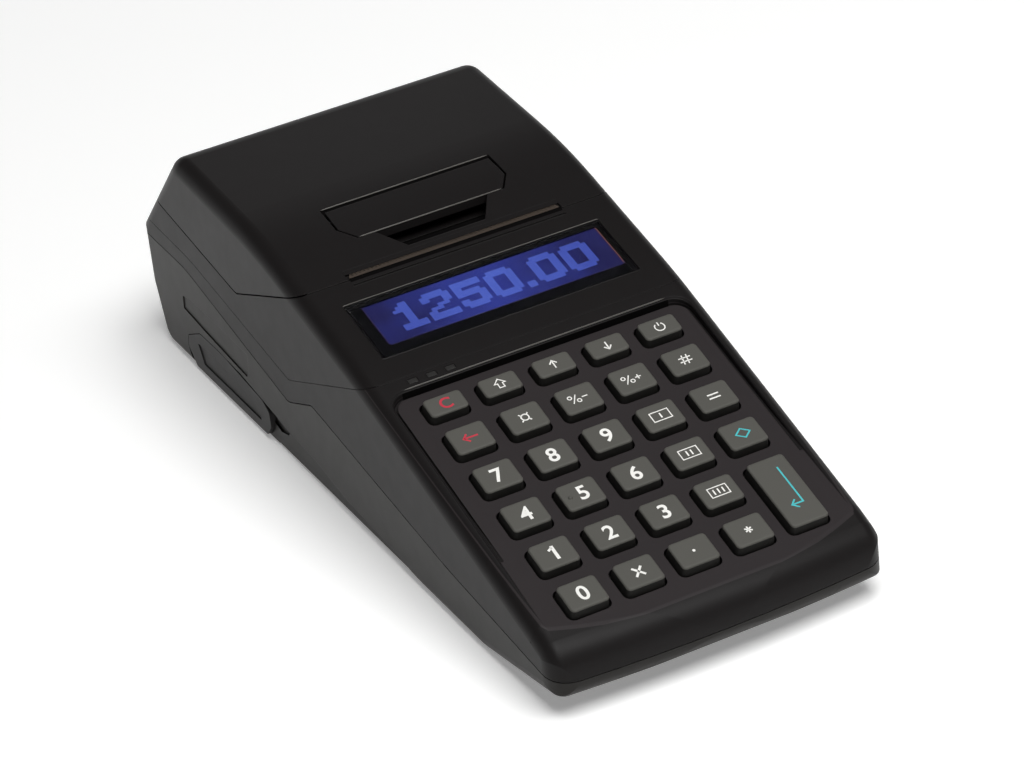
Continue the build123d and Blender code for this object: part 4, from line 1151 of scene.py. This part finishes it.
    def build(self, nodes: Nodes) -> None:
        """Builds every key and dresses the sheets below them.

        Args:
            nodes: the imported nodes.
        """
        keys = sorted(name for name in nodes if name.startswith("key_"))
        for node in keys:
            self.build_key(node)
        self.build_opening_corners(keys)
        self.build_moat_ramps()
        self.build_groove()
        dress_all(nodes, {"keypad_mat": Finish.MAT, "main_board": Finish.BOARD})


# ----------------------------------------------------------------- display
# cells of the bold numerals that the display shows, seven by nine and narrower for the point
NUMERALS: dict[str, tuple[str, ...]] = {
    "0": ("0111110", "1111111", "1100011", "1100011", "1100011", "1100011", "1100011", "1111111", "0111110"),
    "1": ("0001100", "0011100", "0111100", "0001100", "0001100", "0001100", "0001100", "0111111", "0111111"),
    "2": ("0111110", "1111111", "1100011", "0000011", "0001110", "0111000", "1100000", "1111111", "1111111"),
    "5": ("1111111", "1111111", "1100000", "1111110", "1111111", "0000011", "1100011", "1111111", "0111110"),
    ".": ("00", "00", "00", "00", "00", "00", "00", "11", "11"),
}


@dataclass
class Display:
    """The window, the lit panel below it and the numerals on the panel.

    Attributes:
        plane: the plane of the display slope's outer face.
        lit_box: low x, high x, low y and high y of the lit field.
        lit_r: its corner radius.
        lit_spread: how much larger the lit face is than its opening in the mask, in all.
        lit_depth: depth of the lit face.
        glow_lift: height of the cells and of the rim's glow above it.
        rim: width of the purple glow round the field.
        rim_r: corner radius of that glow.
        edge_low: insets of the warm edge's lower points from the right and from below.
        edge_high: insets of its upper points from the right and from above.
        edge_width: width of the warm edge.
        mask_depth: depth of the ink on the window's back.
        mask_t: thickness of that ink.
        mask_inset: how much smaller the ink is than the window, in all.
        mask_r: corner radius of the ink.
        led_count: number of light pipes.
        led_width: width of one light pipe.
        led_frame: margin, width and height of the frame round each light pipe.
        led_frame_r: corner radius of that frame.
        led_frame_foot: how far the frame reaches down.
        pocket_gap: how much larger the window's pocket is than the window, in all.
        pocket_r: corner radius of the pocket.
        pocket_rim: width and height of the rounded edge of the pocket.
        rim_inner: how far that edge reaches into the pocket, in all, and down.
        rim_share: height of the edge at the pocket's side as a share of its height.
        rim_foot: how far its outer line lies in the cover.
        painted_highlight_band: how far the pale band at the rear, a painted highlight, reaches in and down.
        cell: pitch of the panel's cells.
        gap: unlit gap between two cells.
        magnify: cells per dot of a numeral.
        text: what the display shows.
    """

    plane: Plane
    lit_box: tuple[float, float, float, float] = (-31.0, 34.0, -5.9, 10.0)
    lit_r: float = 0.9
    lit_spread: float = 1.0
    lit_depth: float = 1.96
    glow_lift: float = 0.03
    rim: float = 0.45
    rim_r: float = 0.7
    edge_low: tuple[Point, ...] = ((0.28, 0.9), (0.12, 3.0))
    edge_high: tuple[Point, ...] = ((0.12, 1.2), (0.5, 0.2))
    edge_width: float = 0.22
    mask_depth: float = 1.62
    mask_t: float = 0.08
    mask_inset: float = 0.1
    mask_r: float = 0.3
    led_count: int = 3
    led_width: float = 2.3
    led_frame: tuple[float, float, float] = (0.1, 0.32, 0.12)
    led_frame_r: float = 0.2
    led_frame_foot: float = 0.4
    pocket_gap: float = 0.3
    pocket_r: float = 0.5
    pocket_rim: tuple[float, float] = (0.3, 0.08)
    rim_inner: tuple[float, float] = (0.1, 0.3)
    rim_share: float = 0.4
    rim_foot: float = 0.02
    painted_highlight_band: tuple[float, float] = (0.2, 0.1)
    cell: float = 0.365
    gap: float = 0.025
    magnify: int = 3
    text: str = "1250.00"

    def lit_loop(self, grow: float, radius: float, height: float) -> Loop:
        """Draws a rounded loop round the lit field.

        Args:
            grow: how much larger the loop is than the field, in all.
            radius: its corner radius.
            height: its height.

        Returns:
            The loop.
        """
        x0, x1, y0, y1 = self.lit_box
        middle = Vector(((x0 + x1) / 2, (y0 + y1) / 2, height))
        return shifted(rounded_loop(x1 - x0 + grow, y1 - y0 + grow, radius, 0), middle)

    def build_mask(self) -> None:
        """Prints the black surround on the window's back."""
        low, high = self.plane.local_box("display_window")
        width, depth = high.x - low.x - self.mask_inset, high.y - low.y - self.mask_inset
        front, back = -self.mask_depth, -self.mask_depth - self.mask_t
        bm = bmesh.new()
        loops = [rounded_loop(width, depth, self.mask_r, front), self.lit_loop(0, self.lit_r, front),
                 self.lit_loop(0, self.lit_r, back), rounded_loop(width, depth, self.mask_r, back)]
        rings = [add_ring(bm, loop) for loop in loops]
        for ring, following in zip(rings, rings[1:] + rings[:1]):
            bridge(bm, ring, following)
        make_piece("window_surround", bm, self.plane, "base", (Finish.WINDOW_INK,))

    def build_field(self) -> None:
        """Lays the lit field over the panel."""
        bm = bmesh.new()
        bm.faces.new(add_ring(bm, self.lit_loop(self.lit_spread, self.lit_r, -self.lit_depth)))
        make_piece("lit_field", bm, self.plane, "base", (Finish.LCD_FIELD,))

    def build_glow(self) -> None:
        """Adds the stray light at the right end and round the field."""
        _, x1, y0, y1 = self.lit_box
        edge = [(x1 - dx, y0 + dy) for dx, dy in self.edge_low]
        edge += [(x1 - dx, y1 - dy) for dx, dy in self.edge_high]
        bm = bmesh.new()
        ribbon(bm, edge, self.edge_width, 2 * self.glow_lift - self.lit_depth)
        make_piece("light_guide_edge", bm, self.plane, "base", (Finish.LCD_EDGE,))
        bm = bmesh.new()
        loop = [(point.x, point.y) for point in self.lit_loop(-self.rim, self.rim_r, 0)]
        ribbon(bm, loop, self.rim, self.glow_lift - self.lit_depth, closed=True)
        make_piece("light_guide_rim", bm, self.plane, "base", (Finish.LCD_RIM,))

    def build_numerals(self) -> None:
        """Draws the shown number from square cells."""
        dot = self.cell * self.magnify
        columns = sum(len(NUMERALS[figure][0]) + 1 for figure in self.text) - 1
        rows = len(NUMERALS["0"])
        x0, x1, y0, y1 = self.lit_box
        left = (x0 + x1) / 2 - columns * dot / 2
        top = (y0 + y1) / 2 + rows * dot / 2
        bm = bmesh.new()
        for figure in self.text:
            for row, cells in enumerate(NUMERALS[figure]):
                for column, lit in enumerate(cells):
                    if lit == "1":
                        self.lay_dot(bm, left + column * dot, top - row * dot)
            left += (len(NUMERALS[figure][0]) + 1) * dot
        make_piece("numerals", bm, self.plane, "base", (Finish.LCD_PIXELS,))

    def lay_dot(self, bm: BMesh, x: float, y: float) -> None:
        """Lays the cells of one dot of a numeral.

        Args:
            bm: the mesh that grows.
            x: left side of the dot.
            y: upper side of the dot.
        """
        size = self.cell - self.gap
        for i in range(self.magnify):
            for j in range(self.magnify):
                cx, cy = x + i * self.cell, y - j * self.cell
                corners = [(cx, cy - size), (cx + size, cy - size), (cx + size, cy), (cx, cy)]
                bm.faces.new(add_ring(bm, at_height(corners, self.glow_lift - self.lit_depth)))

    def build_pocket_rim(self) -> None:
        """Rounds the edge of the window's pocket, whose pale rear band is a painted highlight."""
        low, high = self.plane.local_box("display_window")
        width, depth = high.x - low.x + self.pocket_gap, high.y - low.y + self.pocket_gap
        out, lift = self.pocket_rim
        inset, down = self.rim_inner
        radius = self.pocket_r
        bm = bmesh.new()
        loops = [rounded_loop(width + 2 * out, depth + 2 * out, radius + out, -self.rim_foot),
                 rounded_loop(width + out, depth + out, radius + out / 2, lift),
                 rounded_loop(width, depth, radius, lift * self.rim_share),
                 rounded_loop(width - inset, depth - inset, radius - inset / 2, -down)]
        rings = [add_ring(bm, loop) for loop in loops]
        highlight_y, highlight_z = depth / 2 - self.painted_highlight_band[0], -self.painted_highlight_band[1]
        for outer, inner in zip(rings, rings[1:]):
            for face in bridge(bm, outer, inner):
                # the rear faces take the pale finish: a painted highlight
                at_rear = all(vert.co.y > highlight_y and vert.co.z > highlight_z for vert in face.verts)
                face.material_index = 1 if at_rear else 0
        make_piece("pocket_rim", bm, self.plane, "base", (Finish.TRIM, Finish.PAINTED_HIGHLIGHT),
                   smooth_angle=80)

    def build_led_frames(self) -> None:
        """Frames each light pipe with a low raised edge."""
        deck = Keypad().plane
        low, high = deck.local_box("led_light_pipes")
        margin, width, lift = self.led_frame
        step = (high.x - low.x - self.led_width) / (self.led_count - 1)
        wide, deep = self.led_width + 2 * margin, high.y - low.y + 2 * margin
        foot = -self.led_frame_foot
        sections = [(wide + 2 * width, deep + 2 * width, foot), (wide + 2 * width, deep + 2 * width, lift),
                    (wide, deep, lift), (wide, deep, foot)]
        bm = bmesh.new()
        for i in range(self.led_count):
            middle = Vector((low.x + self.led_width / 2 + i * step, (low.y + high.y) / 2, high.z))
            rings = [add_ring(bm, shifted(rounded_loop(w, d, self.led_frame_r, z, 3), middle))
                     for w, d, z in sections]
            for outer, inner in zip(rings, rings[1:]):
                bridge(bm, outer, inner)
        make_piece("led_frames", bm, deck, "base", (Finish.TRIM,))

    def build(self, nodes: Nodes) -> None:
        """Dresses the window and the module and adds what they show.

        Args:
            nodes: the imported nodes.
        """
        dress_all(nodes, {
            "display_window": Finish.WINDOW,
            "lcd_module": Finish.WINDOW_INK,
            "led_light_pipes": Finish.LIGHT_PIPE,
        })
        self.build_mask()
        self.build_field()
        self.build_glow()
        self.build_numerals()
        self.build_pocket_rim()
        self.build_led_frames()


# ------------------------------------------------------------- the shells
@dataclass(frozen=True)
class PaintedHighlightEdge:
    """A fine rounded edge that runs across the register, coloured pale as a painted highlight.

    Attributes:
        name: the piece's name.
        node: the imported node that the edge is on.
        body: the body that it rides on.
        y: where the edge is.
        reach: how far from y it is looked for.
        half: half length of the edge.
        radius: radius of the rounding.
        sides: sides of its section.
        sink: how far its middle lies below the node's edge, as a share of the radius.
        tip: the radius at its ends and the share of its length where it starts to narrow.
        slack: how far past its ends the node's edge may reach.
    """

    name: str
    node: str
    body: str
    y: float
    reach: float
    half: float
    radius: float = 0.17
    sides: int = 8
    sink: float = 0.4
    tip: tuple[float, float] = (0.2, 0.96)
    slack: float = 0.5

    def build(self) -> None:
        """Finds the node's highest edge there and rounds it with a pale bead, a painted highlight."""
        near = [v.co / MM for v in bpy.data.objects[self.node].data.vertices
                if abs(v.co.y / MM - self.y) < self.reach and abs(v.co.x) / MM < self.half + self.slack]
        top = max(near, key=lambda place: place.z)
        LOG.info("edge %s at y %.2f, z %.2f", self.name, top.y, top.z)
        small, shoulder = self.tip
        loops = []
        for share, size in ((-1, small), (-shoulder, 1), (shoulder, 1), (1, small)):
            ring = circle(top.y, top.z - self.sink * self.radius, self.radius * size, self.sides)
            loops.append([Vector((share * self.half, y, z)) * MM for y, z in ring])
        bm = bmesh.new()
        skin(bm, loops, (0, 0, 0, 0))
        # the pale finish is a painted highlight along the edge
        make_piece(self.name, bm, None, self.body, (Finish.PAINTED_HIGHLIGHT,), smooth_angle=60)


@dataclass
class Casing:
    """The moulded shells and the parts that close them.

    Attributes:
        edges: the pale edge beads, a painted highlight.
        finishes: the finish of each node.
    """

    edges: tuple[PaintedHighlightEdge, ...] = (
        PaintedHighlightEdge("lever_edge", "lid_lever", "lever", 24.0, 0.2, 19.8),
        PaintedHighlightEdge("lever_well_edge", "paper_lid", "lid", 38.0, 0.15, 23.4),
        PaintedHighlightEdge("deck_rear_edge", "upper_housing", "base", -27.9, 0.45, 35.5),
    )

    finishes: dict[str, Finish] = field(default_factory=lambda: {
        "upper_housing": Finish.DECK,
        "lower_housing": Finish.TUB,
        "display_cover": Finish.HOUSING,
        "battery_cover": Finish.TUB,
        "port_flap": Finish.FLAP,
        "port_connectors": Finish.PORT,
        "rubber_feet": Finish.FEET,
        "housing_screws": Finish.SCREW,
        "battery_pack": Finish.BATTERY,
    })

    def build(self, nodes: Nodes) -> None:
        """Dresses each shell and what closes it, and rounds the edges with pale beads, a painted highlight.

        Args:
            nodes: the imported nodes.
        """
        dress_all(nodes, self.finishes)
        for edge in self.edges:
            edge.build()


@dataclass
class PaperLid:
    """The hinged lid with its lever, tear bar and bearing bushes.

    Attributes:
        slope: the plane of the display slope's outer face.
        tooth: pitch and depth of the bar's serrations.
        front_line: width of the bar's plain front.
        shown_teeth: how much of the bar is left open at the lid's edge.
        strip_t: thickness of the moulded strip that holds the bar.
        strip_foot: how far the strip lies in the bar.
        strip_end: the strip's reach past the bar on each side and at the rear.
        slot: depth of the near-black sheet, a painted shadow, in the paper slot in front of the bar, and its
            reach past the bar's ends.
        slot_gap: gap between the bar and that sheet.
        slot_r: corner radius of that sheet.
        slot_z: that sheet's underside and top.
        pocket: lowest and highest corner of the finger pocket.
        outer_face: least upward slope and least height of the lid's outer face.
        lining: gap under the pocket's near-black sheet, a painted shadow, and its thickness.
        finishes: the finish of each node.
    """

    slope: Plane
    tooth: Point = (1.1, 1.0)
    front_line: float = 0.35
    shown_teeth: float = 1.45
    strip_t: float = 0.03
    strip_foot: float = 0.01
    strip_end: Point = (0.62, 0.22)
    slot: Point = (1.25, 0.35)
    slot_gap: float = 0.12
    slot_r: float = 0.3
    slot_z: Point = (-0.2, 0.02)
    pocket: tuple[tuple[float, float, float], ...] = ((-16.2, 15.4, 51.0), (16.2, 25.2, 60.0))
    outer_face: Point = (0.5, 54.0)
    lining: Point = (0.05, 0.03)
    finishes: dict[str, Finish] = field(default_factory=lambda: {
        "paper_lid": Finish.LID,
        "lid_lever": Finish.LID,
        "platen_bushes": Finish.BUSH,
        "lever_pin": Finish.SCREW,
        "lever_spring": Finish.STEEL,
        "lid_hinge_pin": Finish.STEEL,
    })

    def build_strip(self) -> None:
        """Covers the tear bar's body, so that only its teeth show."""
        low, high = self.slope.local_box("tear_bar")
        side, rear = self.strip_end
        left, right, front, back = low.x - side, high.x + side, low.y + self.shown_teeth, high.y + rear
        outline = [(left, front), (right, front), (right, back), (left, back)]
        bm = bmesh.new()
        skin(bm, [at_height(outline, high.z + z) for z in (-self.strip_foot, self.strip_t)], (0, 0))
        make_piece("tear_bar_strip", bm, self.slope, "lid", (Finish.TRIM,))

    def build_teeth(self) -> None:
        """Makes the bar anew, with fine serrations behind a plain front line."""
        low, high = self.slope.local_box("tear_bar")
        pitch, depth = self.tooth
        count = round((high.x - low.x) / pitch)
        step = (high.x - low.x) / count
        front = low.y + self.front_line
        outline = [(low.x, low.y), (high.x, low.y)]
        for i in range(count):
            outline += [(high.x - i * step, front), (high.x - (i + 0.5) * step, front + depth)]
        outline += [(low.x, front)]
        bm = bmesh.new()
        skin(bm, [at_height(outline, z) for z in (low.z, high.z)], (0, 0))
        bmesh.ops.triangulate(bm, faces=[face for face in bm.faces if len(face.verts) > 4])
        make_piece("tear_bar_teeth", bm, self.slope, "lid", (Finish.TEAR_BAR,), ("tear_bar",))

    def build_slot(self) -> None:
        """Lays a near-black sheet along the paper slot in front of the teeth: painted shadow."""
        low, high = self.slope.local_box("tear_bar")
        deep, reach = self.slot
        middle = Vector(((low.x + high.x) / 2, low.y - self.slot_gap - deep / 2, 0))
        width = high.x - low.x + 2 * reach
        bm = bmesh.new()
        skin(bm, [shifted(rounded_loop(width, deep, self.slot_r, z), middle) for z in self.slot_z], (0, 0))
        # the near-black sheet is a painted shadow
        make_piece("paper_slot_painted_shadow", bm, self.slope, "base", (Finish.FLOCK,))

    def is_skin(self, face: bmesh.types.BMFace) -> bool:
        """Tells what of the lid isn't the pocket.

        Args:
            face: a face of the lid.

        Returns:
            Whether it lies outside the pocket or on the lid's outer face.
        """
        low, high = self.pocket
        up, height = self.outer_face
        outside = any(not low[i] < vert.co[i] / MM < high[i] for vert in face.verts for i in range(3))
        return outside or (face.normal.z > up and face.calc_center_median().z / MM > height)

    def build_pocket(self, lid: bpy.types.Object) -> None:
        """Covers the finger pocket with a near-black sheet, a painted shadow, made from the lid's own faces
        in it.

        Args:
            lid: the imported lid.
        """
        bm = bmesh.new()
        bm.from_mesh(lid.data)
        bmesh.ops.delete(bm, geom=[face for face in bm.faces if self.is_skin(face)], context="FACES")
        bm.normal_update()
        gap, thickness = self.lining
        for vert, way in [(vert, vert.normal.copy()) for vert in bm.verts]:
            vert.co += way * gap * MM
        bmesh.ops.solidify(bm, geom=list(bm.faces), thickness=thickness * MM)
        # the near-black sheet is a painted shadow
        make_piece("finger_pocket_painted_shadow", bm, None, "lid", (Finish.FLOCK,))

    def build(self, nodes: Nodes) -> None:
        """Dresses the lid and what it carries.

        Args:
            nodes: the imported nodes.
        """
        dress_all(nodes, self.finishes)
        self.build_strip()
        self.build_teeth()
        self.build_slot()
        self.build_pocket(nodes["paper_lid"])


@dataclass
class Printer:
    """The printer under the lid: roller, drive, head, frame and paper bay.

    Attributes:
        finishes: the finish of each node.
    """

    finishes: dict[str, Finish] = field(default_factory=lambda: {
        "platen_roller": Finish.ROLLER,
        "platen_shaft": Finish.STEEL,
        "platen_gear": Finish.GEAR,
        "idler_gear": Finish.GEAR,
        "motor_pinion": Finish.BUSH,
        "stepper_motor": Finish.MOTOR,
        "printer_frame": Finish.FRAME,
        "print_head": Finish.HEAD,
        "head_spring": Finish.STEEL,
        "paper_bay": Finish.BAY,
    })

    def build(self, nodes: Nodes) -> None:
        """Dresses the printer and the bay."""
        dress_all(nodes, self.finishes)


# ------------------------------------------------------------------ studio
@dataclass(frozen=True)
class Softbox:
    """A large soft lamp.

    Attributes:
        name: its name.
        place: its place in metres.
        size: its edge in metres.
        watts: its power.
        target: the place that it faces, in metres.
    """

    name: str
    place: tuple[float, float, float]
    size: float
    watts: float
    target: tuple[float, float, float] = (0.0, 0.0, 0.03)

    def build(self) -> None:
        """Hangs the lamp and turns it to the object."""
        data = bpy.data.lights.new(self.name, "AREA")
        data.shape = "SQUARE"
        data.size = self.size
        data.energy = self.watts
        lamp = link_object(self.name, data)
        lamp.location = self.place
        aim = Vector(self.target) - lamp.location
        lamp.rotation_euler = aim.to_track_quat("-Z", "Y").to_euler()


@dataclass
class Studio:
    """A plain pale floor, soft lamps, a soft surround and the camera.

    Attributes:
        floor_size: edge of the floor in metres.
        floor_colour: its sRGB hex.
        floor_lift: how much whiter the floor is to the eye and in reflections.
        pale: sRGB hex of the surround near the horizon.
        dark: sRGB hex of the ceiling.
        horizon: the upward slopes at which the surround stops being pale and is dark.
        camera_place: the camera's place in metres.
        camera_axes: its right, up and backward directions.
        lens: focal length in millimetres.
        sensor: width of the sensor in millimetres.
        clip: nearest and farthest distance that the camera sees, in metres.
        lamps: the soft lamps.
    """

    floor_size: float = 8.0
    floor_colour: str = "F7F7F6"
    floor_lift: float = 0.25
    pale: str = "FFFFFF"
    dark: str = "2A2A2C"
    horizon: Point = (0.08, 0.32)
    camera_place: tuple[float, float, float] = (-0.36466, -0.79509, 0.53121)
    camera_axes: tuple[tuple[float, float, float], ...] = (
        (0.87685, -0.47084, -0.09716), (0.31369, 0.40717, 0.85780), (-0.36433, -0.78263, 0.50472))
    lens: float = 144.4
    sensor: float = 36.0
    clip: Point = (0.05, 20.0)
    lamps: tuple[Softbox, ...] = (
        Softbox("key_lamp", (0.1, -0.5, 1.3), 1.0, 20.0),
        Softbox("rear_lamp", (0.26, 0.66, 0.34), 0.25, 0.16),
    )

    def floor_paint(self) -> bpy.types.Material:
        """Paints the floor pale, and whiter still where it is seen and not lit from.

        Returns:
            The floor's material.
        """
        material, tree = new_material("studio_floor_paint")
        ray = add_node(tree, "ShaderNodeLightPath").outputs
        seen = add_node(tree, "ShaderNodeMath", {
            0: ray["Is Camera Ray"], 1: ray["Is Glossy Ray"]}, operation="MAXIMUM")
        seen = add_node(tree, "ShaderNodeMath", {
            0: seen.outputs[0], 1: ray["Is Transmission Ray"]}, operation="MAXIMUM")
        lift = add_node(tree, "ShaderNodeMath", {
            0: seen.outputs[0], 1: self.floor_lift}, operation="MULTIPLY")
        shader = add_node(tree, "ShaderNodeBsdfPrincipled", {
            "Base Color": linear(self.floor_colour),
            "Roughness": 0.9,
            "Specular IOR Level": 0.1,
            "Emission Color": linear("FFFFFF"),
            "Emission Strength": lift.outputs[0],
        })
        close_material(tree, shader.outputs["BSDF"])
        return material

    def build_floor(self) -> None:
        """Lays the floor under the feet."""
        bm = bmesh.new()
        bmesh.ops.create_grid(bm, x_segments=1, y_segments=1, size=self.floor_size / 2)
        mesh = bpy.data.meshes.new("studio_floor")
        bm.to_mesh(mesh)
        bm.free()
        mesh.materials.append(self.floor_paint())
        link_object("studio_floor", mesh)

    def build_surround(self) -> None:
        """A surround that is pale at the horizon and dark overhead."""
        world = bpy.data.worlds.new("studio_surround")
        bpy.context.scene.world = world
        world.use_nodes = True
        tree = world.node_tree
        tree.nodes.clear()
        way = add_node(tree, "ShaderNodeTexCoord").outputs["Generated"]
        height = add_node(tree, "ShaderNodeSeparateXYZ", {"Vector": way})
        rise = add_node(tree, "ShaderNodeMapRange", {
            "Value": height.outputs["Z"],
            "From Min": self.horizon[0],
            "From Max": self.horizon[1],
        }, interpolation_type="SMOOTHSTEP")
        colour = add_node(tree, "ShaderNodeMix", {
            "Factor": rise.outputs["Result"],
            "A": linear(self.pale),
            "B": linear(self.dark),
        }, data_type="RGBA")
        glow = add_node(tree, "ShaderNodeBackground", {"Color": colour.outputs[2], "Strength": 1.0})
        add_node(tree, "ShaderNodeOutputWorld", {"Surface": glow.outputs["Background"]})

    def build_camera(self) -> None:
        """Places the camera at its viewing angle."""
        data = bpy.data.cameras.new("studio_camera")
        data.lens = self.lens
        data.sensor_width = self.sensor
        data.clip_start, data.clip_end = self.clip
        camera = link_object("studio_camera", data)
        turn = Matrix(self.camera_axes).transposed().to_4x4()
        camera.matrix_world = Matrix.Translation(self.camera_place) @ turn
        bpy.context.scene.camera = camera

    def build(self) -> None:
        """Builds the whole studio."""
        self.build_floor()
        self.build_surround()
        self.build_camera()
        for lamp in self.lamps:
            lamp.build()
        bpy.context.scene.view_settings.view_transform = "Standard"


def corners(box: tuple[Vector, Vector]) -> list[list[float]]:
    """A box's two corners as plain lists."""
    return [list(corner) for corner in box]


def display_plane(nodes: Nodes, recess: float = 0.4) -> Plane:
    """The display slope's plane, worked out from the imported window.

    Args:
        nodes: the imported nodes.
        recess: depth of the window's face below the slope's outer face.

    Returns:
        The plane of the slope's outer face, whose origin is over the window's middle.
    """
    window = nodes["display_window"].data
    normal = max((face for face in window.polygons if face.normal.z > 0), key=lambda face: face.area).normal
    tilt = math.degrees(math.atan2(-normal.y, normal.z))
    low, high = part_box("display_window")
    plane = Plane((low + high) / 2 / MM, tilt)
    top = plane.local_box("display_window")[1].z
    plane.origin += Vector(normal) * (top + recess)
    return plane


def main() -> None:
    """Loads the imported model, dresses it and sets the studio."""
    logging.basicConfig(level=logging.INFO, format="%(name)s: %(message)s")
    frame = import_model()
    nodes = frame["nodes"]
    Studio().build()
    slope = display_plane(nodes)
    Casing().build(nodes)
    PaperLid(slope).build(nodes)
    Printer().build(nodes)
    Keypad().build(nodes)
    Display(slope).build(nodes)


if __name__ == "__main__":
    main()
